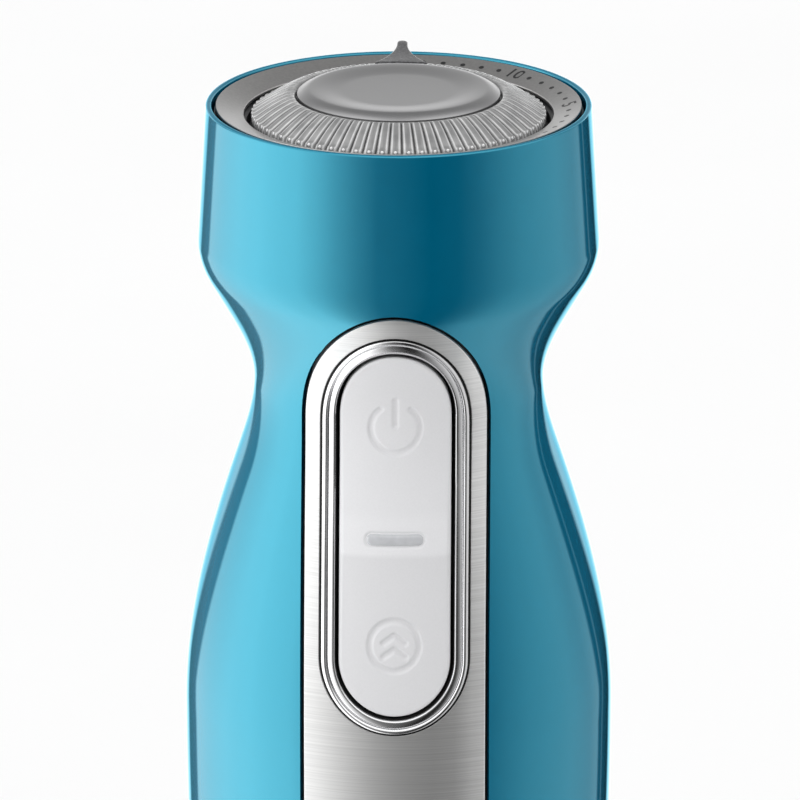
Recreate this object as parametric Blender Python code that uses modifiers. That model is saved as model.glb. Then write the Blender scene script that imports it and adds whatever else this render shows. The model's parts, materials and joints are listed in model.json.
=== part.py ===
"""Immersion blender: motor handle, speed dial, rocker key, motor and pull-off blending wand.

Metres, +Z up. The blender stands upright on the foot of its blade guard, whose centre is the
origin, and the key faces -Y. Heights on the handle are written as depths below its rim.
"""
from math import cos, pi, radians, sin

import bmesh
import bpy
from mathutils import Matrix, Vector

MM = 0.001
GAP = 0.3 * MM                      # clearance between neighbouring pieces
FAR = 60 * MM                       # reach of a cutter that runs right through
ROUND = 32                          # sides of a large turned piece
FINE = 16                           # sides of a small turned piece

# --- handle ---------------------------------------------------------------------------------
RIM_Z = 398 * MM
HANDLE_LENGTH = 216 * MM
# depth below the rim, radius, radius change per unit of depth, rings to the next station
BODY_STATIONS = (
    (0.0 * MM, 29.86 * MM, 0.060, 1),
    (21.5 * MM, 31.15 * MM, 0.060, 2),
    (27.5 * MM, 29.60 * MM, -0.573, 1),
    (33.0 * MM, 26.40 * MM, -0.573, 3),
    (44.0 * MM, 22.53 * MM, 0.000, 3),
    (56.0 * MM, 25.20 * MM, 0.335, 4),
    (97.0 * MM, 33.50 * MM, 0.000, 3),
    (216.0 * MM, 27.00 * MM, -0.070, 1),
)
WALL = 2.8 * MM
LIP_WIDTH = 0.95 * MM
LIP_ROUND = 0.5 * MM
LEDGE_DEPTH = 5.0 * MM
LEDGE_THICKNESS = 3.0 * MM
LEDGE_RADIUS = 26.6 * MM
PARTING_GAP = 0.15 * MM             # each half shell stops this far from the parting plane

# --- front panel and key: half widths, top depths and heights of the half-elliptic arches -----
PANEL_BOTTOM = HANDLE_LENGTH - GAP
CUTOUT = (14.6 * MM, 25.3 * MM, 20.1 * MM)
GASKET = (14.3 * MM, 25.6 * MM, 19.8 * MM)
GASKET_INSIDE = (12.3 * MM, 28.4 * MM, 17.0 * MM)
PANEL = (14.0 * MM, 25.9 * MM, 19.5 * MM)
WINDOW = (11.65 * MM, 29.45 * MM, 16.0 * MM)
BEZEL = (11.35 * MM, 29.75 * MM, 15.7 * MM)
BEZEL_INSIDE = (9.2 * MM, 32.4 * MM, 11.8 * MM)
KEY = (8.6 * MM, 33.0 * MM, 11.2 * MM)
SEAL = (12.6 * MM, 28.5 * MM, 17.0 * MM)
KEY_END_DEPTH = 80.4 * MM           # centre of the round lower ends of window, bezel and key
RECESS = 1.9 * MM
RECESS_TOP = 22 * MM
PANEL_TOP = 24 * MM                 # rings of the panel and its gasket start at this depth
KEY_DEPTHS = (26 * MM, 96 * MM)     # rings of bezel, key and seal lie between these depths
FRONT_CUT_END = -8 * MM             # cutters from the front stop here, inside the housing
PANEL_THICKNESS = 0.8 * MM
GASKET_LAYER = (-1.1 * MM, -1.6 * MM)
BEZEL_LAYER = (0.6 * MM, -2.5 * MM)
KEY_LAYER = (0.2 * MM, -2.0 * MM)
SEAL_LAYER = (-3.4 * MM, -4.1 * MM)

PIVOT_DEPTH = 62.1 * MM
PIVOT_Y = -19.9 * MM
PIN_RADIUS = 0.9 * MM
PIN_HOLE = 1.15 * MM
PIN_HALF_LENGTH = 5.4 * MM
KEY_BOSS_HALF = (2.5 * MM, 2.1 * MM)
KEY_BOSS_Y = (-26 * MM, -18.4 * MM)
KEY_STEM_RADIUS = 1.8 * MM
KEY_STEM_ROOT_Y = -30.2 * MM
SEAL_BOSS_HALF = (3.2 * MM, 3.0 * MM)
SEAL_STEM_HOLE = 2.6 * MM
EAR_X = (3.1 * MM, 4.9 * MM)
EAR_TIP_Y = -21.5 * MM
EAR_HALF_HEIGHT = 1.9 * MM
CARRIER_HALF_HEIGHT = 4 * MM
CARRIER_BASE = 1.6 * MM
SWITCH_ARM = 16.5 * MM              # height of each switch above or below the pivot
SWITCH_HALF = 3.2 * MM
SWITCH_FRONT_Y = -17.9 * MM
SWITCH_BORE_END_Y = -14.9 * MM
PLUNGER_TIP_Y = -20.1 * MM
PLUNGER_RADIUS = 1.5 * MM
PLUNGER_LENGTH = 4.1 * MM
BOARD_FRONT_Y = -12.6 * MM
BOARD_THICKNESS = 1.4 * MM
BOARD_HALF_WIDTH = 12.5 * MM
BOARD_DEPTHS = (24 * MM, 99 * MM)
POST_DEPTHS = (26 * MM, 97 * MM)
POST_X = 9 * MM
POST_HALF = (1.4 * MM, 1.2 * MM)
POST_WALL_Y = (-26 * MM, -30.5 * MM)  # where the posts sink into the wall
LED_RADIUS = 1.5 * MM
LED_FRONT_Y = -18 * MM
LED_ABOVE_PIVOT = 7 * MM
CAPACITOR_HALF_WIDTH = 8 * MM
CAPACITOR_THICKNESS = 9 * MM
CAPACITOR_Z = (340 * MM, 357 * MM)
LIGHT_BAR_HALF = (4.5 * MM, 0.95 * MM)
LIGHT_BAR_DEEP = 1.1 * MM
LIGHT_BAR_PROUD = 0.3 * MM
LIGHT_BAR_PLAY = 0.15 * MM

# --- dial ------------------------------------------------------------------------------------
RING_RADII = (28.3 * MM, 23.96 * MM)
RING_DEPTHS = (0.3 * MM, 1.55 * MM)
RING_THICKNESS = 0.6 * MM
DIAL_RADIUS = 22.8 * MM
DIAL_EDGE_DEPTH = 1.7 * MM
DIAL_SHOULDER_RADIUS = 17.4 * MM
DIAL_TOP = 1.9 * MM                 # height of the shoulder above the rim
CAP_RADIUS = 15.7 * MM
CAP_TOP = 2.4 * MM
CAP_BOTTOM = 0.9 * MM
POINTER_REACH = 27.5 * MM
POINTER_HEIGHTS = (0.7 * MM, 2.4 * MM)
SHAFT_RADIUS = 3.0 * MM
SHAFT_DEPTHS = (0.7 * MM, 14.5 * MM)
TRAY_FLOOR_DEPTHS = (4.4 * MM, 6.2 * MM)
TRAY_BORE = 4.3 * MM
TRAY_WALL_INSIDE = 23.5 * MM
POT_RADIUS = 8 * MM
POT_BUSH_RADIUS = 3.95 * MM
POT_BUSH_DEPTH = 4.6 * MM
POT_DEPTHS = (6.5 * MM, 16.5 * MM)

# --- cord gland ------------------------------------------------------------------------------
GLAND_DEPTH = 14 * MM
GLAND_BORE = 3.3 * MM
GLAND_NECK = 4.7 * MM
GLAND_FLANGE = 6.4 * MM
GLAND_INNER_FLANGE = 5.4 * MM
GLAND_FLANGE_THICKNESS = 1.0 * MM
GLAND_OUTSIDE = 0.7 * MM            # clears the curved shell at the flange's edge
GLAND_INSIDE = 1.1 * MM

# --- motor -----------------------------------------------------------------------------------
BRACKET_RADIUS = 25 * MM
CORE_Z = (246 * MM, 278 * MM)
CORE_BORE = 13.3 * MM
CORE_YOKE = 20.5 * MM
ROTOR_RADIUS = 12.8 * MM
SLOT_COUNT = 8
SLOT_CIRCLE = 10.9 * MM
MOTOR_SHAFT = 2.5 * MM
SHAFT_HOLE = 2.8 * MM
BEARING_RADIUS = 6.0 * MM
POLE_HALF_WIDTH = 5 * MM
COIL_Y = (13.9 * MM, 17.4 * MM)
COIL_HALF_WIDTH = 9.5 * MM
COIL_OVERHANG = 4.5 * MM
ARMATURE_Z = (248 * MM, 276 * MM)
WINDING_RADII = (12 * MM, 5.8 * MM)
WINDING_HEIGHT = 5 * MM
SLOT_RADIUS = 1.25 * MM
BAR_RADIUS = 0.85 * MM
SHAFT_Z = (214 * MM, 299.5 * MM)
COMMUTATOR_RADIUS = 7.5 * MM
COMMUTATOR_Z = (282 * MM, 291 * MM)
BRUSH_Z = 287.6 * MM
BRUSH_X = (7.9 * MM, 15 * MM)
BRUSH_HALF = (2.2 * MM, 2.5 * MM)
HOLDER_X = (9.5 * MM, 21 * MM)
HOLDER_HALF = (3.4 * MM, 3.6 * MM)
FAN_Z = (232.5 * MM, 239.5 * MM)
FAN_RADIUS = 20 * MM
FAN_PLATE = 1.3 * MM
FAN_BLADES = 7
LOWER_BRACKET_Z = (224 * MM, 227.5 * MM, 231 * MM)      # bottom, plate top, boss top
UPPER_BRACKET_Z = (291.7 * MM, 294.7 * MM, 300 * MM)
BOSS_RADIUS = 9 * MM
LOWER_BEARING_Z = (224 * MM, 230.5 * MM)
UPPER_BEARING_Z = (292 * MM, 299.5 * MM)
LOWER_DAMPER_Z = (224.2 * MM, 227.2 * MM)
UPPER_DAMPER_Z = (291.9 * MM, 294.5 * MM)
SCREW_X = 22.8 * MM
SCREW_HOLE = 1.6 * MM
SCREW_SHANK = (1.3 * MM, 222 * MM, 296 * MM)            # radius, bottom, top
SCREW_HEAD = (2.3 * MM, 295 * MM, 297 * MM)

# --- coupling and wand -----------------------------------------------------------------------
SOCKET_BOTTOM = 174 * MM
SOCKET_BORE = 19.6 * MM
SOCKET_TOP = 209 * MM
SOCKET_ROOF = 206.5 * MM            # underside of the socket's end wall
SOCKET_CUP_RADIUS = 22.2 * MM
SOCKET_RING_RADII = (27.0 * MM, 26.7 * MM)
SPIGOT_RADIUS = 19.3 * MM
SPIGOT_TOP = 204 * MM
SNAP_Z = 190 * MM
SNAP_HALF_GROOVE = 1 * MM
SNAP_GROOVE_RADII = (18.6 * MM, 20.9 * MM)
SNAP_RADIUS = 19.6 * MM
SNAP_WIRE = 0.65 * MM
SNAP_OPENING = radians(24)
KEYWAY = (18 * MM, 20.8 * MM, 1.8 * MM, 170 * MM, 187.3 * MM)   # near, far, half width, low, high
SPIGOT_KEY = (18.9 * MM, 20.4 * MM, 1.5 * MM, 176 * MM, 186.5 * MM)
COLLAR_RADII = (26.5 * MM, 17.8 * MM)
COLLAR_CONE_Z = (169 * MM, 148 * MM)
COLLAR_BORE = 12.8 * MM
BUSH_POCKET_Z = 184 * MM
DRIVE_SHAFT = 3.0 * MM
HEX_MALE = 5.0 * MM
HEX_FEMALE = 5.45 * MM
HEX_Z = (193 * MM, 212 * MM)
COUPLING_RADIUS = 8 * MM
COUPLING_Z = (205 * MM, 213 * MM, 222 * MM)             # bottom, end of the hexagon, top
DRIVE_Z = (6.6 * MM, 208 * MM)
UPPER_BUSH_Z = (184.4 * MM, 192.4 * MM)
LOWER_BUSH_Z = (46.4 * MM, 60 * MM)
SEAL_RING_RADIUS = 7.0 * MM
SEAL_RING_Z = (39.4 * MM, 44.0 * MM)
TUBE_TOP = 165.5 * MM
TUBE_TAPER_Z = (146 * MM, 100 * MM)
TUBE_BOTTOM = 52 * MM
TUBE_RADII = (16.2 * MM, 13.2 * MM)
TUBE_WALL = 1.0 * MM
CARRIER_Z = (40 * MM, 50 * MM, 62 * MM)                 # bottom, top of its cone, top
CARRIER_SEAL_POCKET = (7.3 * MM, 44.4 * MM)
CARRIER_NECK = (4.2 * MM, 46 * MM)
GUARD_TOP = 66 * MM
GUARD_RADIUS = 34 * MM
GUARD_WALL = 1.2 * MM
GUARD_SLEEVE = 14.6 * MM
GUARD_FLARE_Z = (56 * MM, 22 * MM)
FLARE_RINGS = 6
BEAD = 0.8 * MM
BEAD_Z = (2.6 * MM, 1.8 * MM, 0.6 * MM)
GUARD_WINDOW = (8 * MM, 3 * MM, 15 * MM)                # half length, half height, height
BLADE_Z = 12 * MM
BLADE_HUB = 5.5 * MM
BLADE_HALF_HUB = 1.5 * MM
WING_HALF_THICKNESS = 0.55 * MM
WING_START = 3.5 * MM
WING_REACH = 18 * MM
BEND_UP = radians(-10)
BEND_DOWN = radians(14)
WING_PITCH = radians(12)
SPACER_RADIUS = 4.6 * MM
SPACER_Z = (14 * MM, 37 * MM)
NUT_Z = (6.6 * MM, 10.2 * MM)

parts = bpy.data.collections.new("immersion_blender")
cutters = bpy.data.collections.new("cutters")


# --- helpers -----------------------------------------------------------------------------------
def clear_scene():
    for old in list(bpy.data.objects):
        bpy.data.objects.remove(old, do_unlink=True)
    for collection in (parts, cutters):
        bpy.context.scene.collection.children.link(collection)


def material(name, colour, roughness, metallic=0.0, alpha=1.0):
    made = bpy.data.materials.new(name)
    made.use_nodes = True
    shader = made.node_tree.nodes["Principled BSDF"]
    shader.inputs["Base Color"].default_value = (*colour, 1.0)
    shader.inputs["Roughness"].default_value = roughness
    shader.inputs["Metallic"].default_value = metallic
    shader.inputs["Alpha"].default_value = alpha
    made.diffuse_color = (*colour, alpha)
    return made


def add_object(name, mesh):
    made = bpy.data.objects.new(name, mesh)
    cutters.objects.link(made)
    return made


def bake(piece):
    """Apply the piece's modifiers and transform, and turn its faces outward."""
    bpy.context.view_layer.update()
    evaluated = piece.evaluated_get(bpy.context.evaluated_depsgraph_get())
    mesh = bpy.data.meshes.new_from_object(evaluated)
    mesh.transform(piece.matrix_world)
    work = bmesh.new()
    work.from_mesh(mesh)
    bmesh.ops.remove_doubles(work, verts=work.verts, dist=0.002 * MM)
    bmesh.ops.dissolve_degenerate(work, edges=work.edges, dist=0.001 * MM)
    bmesh.ops.recalc_face_normals(work, faces=work.faces)
    work.to_mesh(mesh)
    work.free()
    name = piece.name
    bpy.data.objects.remove(piece, do_unlink=True)
    return add_object(name, mesh)


def combine(piece, tool, operation):
    """Boolean the tool into the piece and drop the tool."""
    boolean = piece.modifiers.new("boolean", "BOOLEAN")
    boolean.object = tool
    boolean.operation = operation
    boolean.solver = "EXACT"
    made = bake(piece)
    bpy.data.objects.remove(tool, do_unlink=True)
    return made


def cut(piece, *tools):
    for tool in tools:
        piece = combine(piece, tool, "DIFFERENCE")
    return piece


def join(piece, *tools):
    for tool in tools:
        piece = combine(piece, tool, "UNION")
    return piece


def common(piece, tool):
    return combine(piece, tool, "INTERSECT")


def finish(piece, name, look, origin=(0.0, 0.0, 0.0)):
    """Name the piece, give it its material, shade it and put its origin on its joint's axis."""
    mesh = piece.data
    shift = Vector(origin)
    mesh.transform(Matrix.Translation(-shift))
    piece.location = shift
    piece.name = name
    mesh.name = name
    mesh.materials.clear()
    mesh.materials.append(look)
    mesh.shade_smooth()
    mesh.set_sharp_from_angle(angle=radians(35))
    cutters.objects.unlink(piece)
    parts.objects.link(piece)
    return piece


def turned(profile, sides=ROUND, closed=True):
    """Turn a profile of (radius, z) points, given down its outer side, about the Z axis."""
    mesh = bpy.data.meshes.new("profile")
    work = bmesh.new()
    points = [work.verts.new((radius, 0.0, z)) for radius, z in profile]
    for first, second in zip(points, points[1:]):
        work.edges.new((first, second))
    if closed:
        work.edges.new((points[-1], points[0]))
    work.to_mesh(mesh)
    work.free()
    piece = add_object("turned", mesh)
    screw = piece.modifiers.new("screw", "SCREW")
    screw.steps = sides
    screw.render_steps = sides
    screw.use_merge_vertices = True
    screw.merge_threshold = 0.00001
    return bake(piece)


def cylinder(radius, low, high, sides=FINE, axis="Z", centre=(0.0, 0.0)):
    """A cylinder from low to high along an axis; centre holds its other two coordinates."""
    mesh = bpy.data.meshes.new("cylinder")
    work = bmesh.new()
    bmesh.ops.create_cone(work, cap_ends=True, segments=sides, radius1=radius, radius2=radius,
                          depth=high - low)
    work.to_mesh(mesh)
    work.free()
    middle = (low + high) / 2
    turn, place = {
        "X": (Matrix.Rotation(pi / 2, 4, "Y"), (middle, *centre)),
        "Y": (Matrix.Rotation(pi / 2, 4, "X"), (centre[0], middle, centre[1])),
        "Z": (Matrix.Identity(4), (*centre, middle)),
    }[axis]
    mesh.transform(Matrix.Translation(place) @ turn)
    return add_object("cylinder", mesh)


def box(low, high, turn=None):
    """A box between two corners, optionally turned by a matrix afterwards."""
    mesh = bpy.data.meshes.new("box")
    size = Vector(high) - Vector(low)
    middle = (Vector(high) + Vector(low)) / 2
    work = bmesh.new()
    bmesh.ops.create_cube(work, size=1.0)
    work.to_mesh(mesh)
    work.free()
    mesh.transform(Matrix.Translation(middle) @ Matrix.Diagonal((*size, 1.0)))
    if turn is not None:
        mesh.transform(turn)
    return add_object("box", mesh)


def prism(outline, low, high, facing_front=True):
    """Extrude an outline: (x, z) points along Y from low to high, or (x, y) points along Z."""
    curve = bpy.data.curves.new("outline", "CURVE")
    curve.dimensions = "2D"
    curve.fill_mode = "BOTH"
    curve.extrude = (high - low) / 2
    spline = curve.splines.new("POLY")
    spline.points.add(len(outline) - 1)
    for point, (across, along) in zip(spline.points, outline):
        point.co = (across, along, 0.0, 1.0)
    spline.use_cyclic_u = True
    piece = add_object("prism", curve)
    middle = (high + low) / 2
    if facing_front:
        piece.matrix_world = Matrix.Translation((0, middle, 0)) @ Matrix.Rotation(pi / 2, 4, "X")
    else:
        piece.matrix_world = Matrix.Translation((0, 0, middle))
    return bake(piece)


# --- the handle's outline ------------------------------------------------------------------------
def body_radius(depth):
    """Radius of the handle at a depth below the rim: cubic arcs between the stations."""
    for (d0, r0, s0, _), (d1, r1, s1, _) in zip(BODY_STATIONS, BODY_STATIONS[1:]):
        if depth <= d1:
            break
    span = d1 - d0
    t = (depth - d0) / span
    return ((2 * t**3 - 3 * t**2 + 1) * r0 + (t**3 - 2 * t**2 + t) * span * s0
            + (3 * t**2 - 2 * t**3) * r1 + (t**3 - t**2) * span * s1)


def ring_depths(top, bottom):
    """Depths of the rings that follow the body's curve between two depths."""
    rings = [top]
    for (d0, _, _, count), (d1, _, _, _) in zip(BODY_STATIONS, BODY_STATIONS[1:]):
        rings += [d0 + (d1 - d0) * i / count for i in range(count)]
    rings = [d for d in rings if top < d - 0.5 * MM and d + 0.5 * MM < bottom]
    return [top, *rings, bottom]


def body_layer(outer, inner, top, bottom):
    """A ring of material that follows the body between two offsets from its surface."""
    rings = ring_depths(top, bottom)
    outside = [(body_radius(d) + outer, RIM_Z - d) for d in rings]
    inside = [(body_radius(d) + inner, RIM_Z - d) for d in reversed(rings)]
    return turned(outside + inside)


def arch_outline(shape, bottom=None, steps=12):
    """Half-elliptic top, straight sides, and a round lower end or a straight one at bottom."""
    half, top, height = shape
    spring_z = RIM_Z - top - height
    points = [(half * cos(pi * i / steps), spring_z + height * sin(pi * i / steps))
              for i in range(steps + 1)]
    if bottom is not None:
        return points + [(-half, RIM_Z - bottom), (half, RIM_Z - bottom)]
    end_z = RIM_Z - KEY_END_DEPTH
    return points + [(-half * cos(pi * i / steps), end_z - half * sin(pi * i / steps))
                     for i in range(steps + 1)]


def pill_outline(half_length, half_height, z, steps=6):
    """A lying pill shape with round ends."""
    straight = half_length - half_height
    right = [(straight + half_height * sin(pi * i / steps), z + half_height * cos(pi * i / steps))
             for i in range(steps + 1)]
    return right + [(-x, 2 * z - height) for x, height in right]


def front_cutter(outline):
    """A prism from far in front of the handle to inside its front wall."""
    return prism(outline, -FAR, FRONT_CUT_END)


def front_layer(layer, outline, top, bottom):
    """The part of a body layer that lies inside a front outline."""
    return common(body_layer(*layer, top, bottom), front_cutter(outline))


# --- housing -------------------------------------------------------------------------------------
def housing_ring():
    """The whole turned housing, with the lip of the rim and the ledge of the dial tray."""
    rim = RIM_Z
    lip_inside = body_radius(0) - LIP_WIDTH
    corner = body_radius(0) - LIP_ROUND
    lip = [(corner + LIP_ROUND * sin(radians(a)), rim - LIP_ROUND + LIP_ROUND * cos(radians(a)))
           for a in (0, 30, 60, 90)]
    rings = ring_depths(2 * LIP_ROUND, HANDLE_LENGTH)
    outside = [(body_radius(d), rim - d) for d in rings]
    ledge_end = LEDGE_DEPTH + LEDGE_THICKNESS
    inside = [(body_radius(d) - WALL, rim - d)
              for d in reversed(ring_depths(ledge_end + 1 * MM, HANDLE_LENGTH))]
    ledge = [(LEDGE_RADIUS, rim - ledge_end), (LEDGE_RADIUS, rim - LEDGE_DEPTH),
             (lip_inside, rim - LEDGE_DEPTH), (lip_inside, rim)]
    return turned(lip + outside + inside + ledge)


def board_posts():
    """Four posts that reach from the front shell to the control board."""
    half_width, half_height = POST_HALF
    for depth, wall_y in zip(POST_DEPTHS, POST_WALL_Y):
        for side in (-1, 1):
            x = side * POST_X
            z = RIM_Z - depth
            yield box((x - half_width, wall_y, z - half_height),
                      (x + half_width, BOARD_FRONT_Y - GAP, z + half_height))


def front_housing(look):
    half = box((-FAR, -FAR, 0), (FAR, -PARTING_GAP, RIM_Z + FAR))
    shell = common(housing_ring(), half)
    recess = front_layer((5 * MM, -RECESS), arch_outline(CUTOUT, HANDLE_LENGTH + FAR),
                         RECESS_TOP, HANDLE_LENGTH + 2 * MM)
    shell = cut(shell, recess, front_cutter(arch_outline(WINDOW)))
    finish(join(shell, *board_posts()), "front_housing", look)


def rear_housing(look):
    half = box((-FAR, PARTING_GAP, 0), (FAR, FAR, RIM_Z + FAR))
    shell = common(housing_ring(), half)
    hole = cylinder(GLAND_NECK + GAP, -FRONT_CUT_END, FAR, axis="Y", centre=(0, RIM_Z - GLAND_DEPTH))
    finish(cut(shell, hole), "rear_housing", look)


def cord_gland(look):
    """Rubber bush with an outer and an inner flange round the hole in the rear shell."""
    outside = body_radius(GLAND_DEPTH) + GLAND_OUTSIDE
    inside = body_radius(GLAND_DEPTH) - WALL - GLAND_INSIDE
    flange_out = outside + GLAND_FLANGE_THICKNESS
    flange_in = inside - GLAND_FLANGE_THICKNESS
    profile = [(GLAND_BORE, flange_out), (GLAND_FLANGE, flange_out), (GLAND_FLANGE, outside),
               (GLAND_NECK, outside), (GLAND_NECK, inside), (GLAND_INNER_FLANGE, inside),
               (GLAND_INNER_FLANGE, flange_in), (GLAND_BORE, flange_in)]
    piece = turned(profile, FINE)
    piece.matrix_world = (Matrix.Translation((0, 0, RIM_Z - GLAND_DEPTH))
                          @ Matrix.Rotation(-pi / 2, 4, "X"))
    finish(bake(piece), "cord_gland", look)


# --- front panel and key -----------------------------------------------------------------------
def front_panel(look):
    piece = front_layer((0.0, -PANEL_THICKNESS), arch_outline(PANEL, PANEL_BOTTOM),
                        PANEL_TOP, PANEL_BOTTOM)
    finish(cut(piece, front_cutter(arch_outline(WINDOW))), "front_panel", look)


def panel_gasket(look):
    piece = front_layer(GASKET_LAYER, arch_outline(GASKET, PANEL_BOTTOM), PANEL_TOP, PANEL_BOTTOM)
    middle = front_cutter(arch_outline(GASKET_INSIDE, PANEL_BOTTOM - 2 * MM))
    finish(cut(piece, middle), "panel_gasket", look)


def button_bezel(look):
    piece = front_layer(BEZEL_LAYER, arch_outline(BEZEL), *KEY_DEPTHS)
    finish(cut(piece, front_cutter(arch_outline(BEZEL_INSIDE))), "button_bezel", look)


def button_seal(look):
    piece = front_layer(SEAL_LAYER, arch_outline(SEAL), *KEY_DEPTHS)
    pivot_z = RIM_Z - PIVOT_DEPTH
    half_width, half_height = SEAL_BOSS_HALF
    boss_hole = box((-half_width, -FAR, pivot_z - half_height),
                    (half_width, FRONT_CUT_END, pivot_z + half_height))
    stem_holes = [cylinder(SEAL_STEM_HOLE, -FAR, FRONT_CUT_END, FINE, "Y",
                           (0, pivot_z + side * SWITCH_ARM)) for side in (-1, 1)]
    finish(cut(piece, boss_hole, *stem_holes), "button_seal", look)


def rocker_button(look):
    """The key: a curved shell with a pivot boss, and a stem that reaches the lower switch."""
    pivot_z = RIM_Z - PIVOT_DEPTH
    shell = front_layer(KEY_LAYER, arch_outline(KEY), *KEY_DEPTHS)
    half_width, half_height = KEY_BOSS_HALF
    boss_front, boss_back = KEY_BOSS_Y
    boss = box((-half_width, boss_front, pivot_z - half_height),
               (half_width, boss_back, pivot_z + half_height))
    stem = cylinder(KEY_STEM_RADIUS, KEY_STEM_ROOT_Y, PLUNGER_TIP_Y - GAP, FINE, "Y",
                    (0, pivot_z - SWITCH_ARM))
    pin_hole = cylinder(PIN_HOLE, -FAR, FAR, FINE, "X", (PIVOT_Y, pivot_z))
    front = -body_radius(PIVOT_DEPTH)
    pocket_half = [half + LIGHT_BAR_PLAY for half in LIGHT_BAR_HALF]
    pocket = prism(pill_outline(*pocket_half, pivot_z), -FAR,
                   front + LIGHT_BAR_DEEP + LIGHT_BAR_PLAY)
    piece = cut(join(shell, boss, stem), pin_hole, pocket)
    finish(piece, "rocker_button", look, (0, PIVOT_Y, pivot_z))


def light_bar(look):
    pivot_z = RIM_Z - PIVOT_DEPTH
    front = -body_radius(PIVOT_DEPTH)
    bar = prism(pill_outline(*LIGHT_BAR_HALF, pivot_z), front - LIGHT_BAR_PROUD, front + LIGHT_BAR_DEEP)
    finish(bar, "light_bar", look, (0, PIVOT_Y, pivot_z))


def rocker_pin(look):
    pin = cylinder(PIN_RADIUS, -PIN_HALF_LENGTH, PIN_HALF_LENGTH, FINE, "X",
                   (PIVOT_Y, RIM_Z - PIVOT_DEPTH))
    finish(pin, "rocker_pin", look)


def button_carrier(look):
    """A U-shaped bracket on the board whose two ears hold the rocker pin."""
    z = RIM_Z - PIVOT_DEPTH
    back = BOARD_FRONT_Y - GAP
    near, away = EAR_X
    piece = box((-away, back - CARRIER_BASE, z - CARRIER_HALF_HEIGHT),
                (away, back, z + CARRIER_HALF_HEIGHT))
    for side in (-1, 1):
        low, high = sorted((side * near, side * away))
        ear = box((low, EAR_TIP_Y, z - EAR_HALF_HEIGHT),
                  (high, back - CARRIER_BASE / 2, z + EAR_HALF_HEIGHT))
        piece = join(piece, ear)
    piece = cut(piece, cylinder(PIN_HOLE, -FAR, FAR, FINE, "X", (PIVOT_Y, z)))
    finish(piece, "button_carrier", look)


def switch(name, plunger_name, side, body_look, plunger_look):
    """One micro switch on the board, with the plunger that the key presses."""
    z = RIM_Z - PIVOT_DEPTH + side * SWITCH_ARM
    body = box((-SWITCH_HALF, SWITCH_FRONT_Y, z - SWITCH_HALF),
               (SWITCH_HALF, BOARD_FRONT_Y - GAP, z + SWITCH_HALF))
    bore = cylinder(PLUNGER_RADIUS + GAP, -FAR, SWITCH_BORE_END_Y, FINE, "Y", (0, z))
    finish(cut(body, bore), name, body_look)
    plunger_end = PLUNGER_TIP_Y + PLUNGER_LENGTH
    plunger = cylinder(PLUNGER_RADIUS, PLUNGER_TIP_Y, plunger_end, FINE, "Y", (0, z))
    finish(plunger, plunger_name, plunger_look, (0, PLUNGER_TIP_Y, z))


def control_board(look):
    top, bottom = BOARD_DEPTHS
    finish(box((-BOARD_HALF_WIDTH, BOARD_FRONT_Y, RIM_Z - bottom),
               (BOARD_HALF_WIDTH, BOARD_FRONT_Y + BOARD_THICKNESS, RIM_Z - top)),
           "control_board", look)


def board_components(led_look, capacitor_look):
    z = RIM_Z - PIVOT_DEPTH + LED_ABOVE_PIVOT
    led = cylinder(LED_RADIUS, LED_FRONT_Y, BOARD_FRONT_Y - GAP, FINE, "Y", (0, z))
    finish(led, "status_led", led_look)
    back = BOARD_FRONT_Y + BOARD_THICKNESS + GAP
    low, high = CAPACITOR_Z
    capacitor = box((-CAPACITOR_HALF_WIDTH, back, low),
                    (CAPACITOR_HALF_WIDTH, back + CAPACITOR_THICKNESS, high))
    finish(capacitor, "suppression_capacitor", capacitor_look)


# --- dial ----------------------------------------------------------------------------------------
def scale_ring(look):
    outer, inner = RING_RADII
    high, low = (RIM_Z - depth for depth in RING_DEPTHS)
    finish(turned([(outer, high), (outer, high - RING_THICKNESS), (inner, low - RING_THICKNESS),
                   (inner, low)]), "scale_ring", look)


def dial_tray(look):
    """The black dish that closes the head and carries the scale ring and the potentiometer."""
    outer = body_radius(0) - LIP_WIDTH - GAP
    under_ring = RIM_Z - RING_DEPTHS[0] - RING_THICKNESS - GAP
    under_ring_inside = RIM_Z - RING_DEPTHS[1] - RING_THICKNESS - 2 * GAP
    seat = RIM_Z - LEDGE_DEPTH + GAP
    floor_top, floor_bottom = (RIM_Z - depth for depth in TRAY_FLOOR_DEPTHS)
    finish(turned([(outer, under_ring), (outer, seat), (LEDGE_RADIUS - GAP, seat),
                   (LEDGE_RADIUS - GAP, floor_bottom), (TRAY_BORE, floor_bottom),
                   (TRAY_BORE, floor_top), (TRAY_WALL_INSIDE, floor_top),
                   (TRAY_WALL_INSIDE, under_ring_inside)]), "dial_tray", look)


def pointer_outline(steps=8):
    """Bell-shaped plan of the pointer: wide at the knob, narrow at its tip, pointing to +Y."""
    root_y, root_half, tip_half = 15 * MM, 4.4 * MM, 0.8 * MM
    right = []
    for i in range(steps + 1):
        t = i / steps
        half = tip_half + (root_half - tip_half) * (1 - t)**2
        right.append((half, root_y + (POINTER_REACH - root_y) * t))
    return right + [(-x, y) for x, y in reversed(right)]


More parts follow.
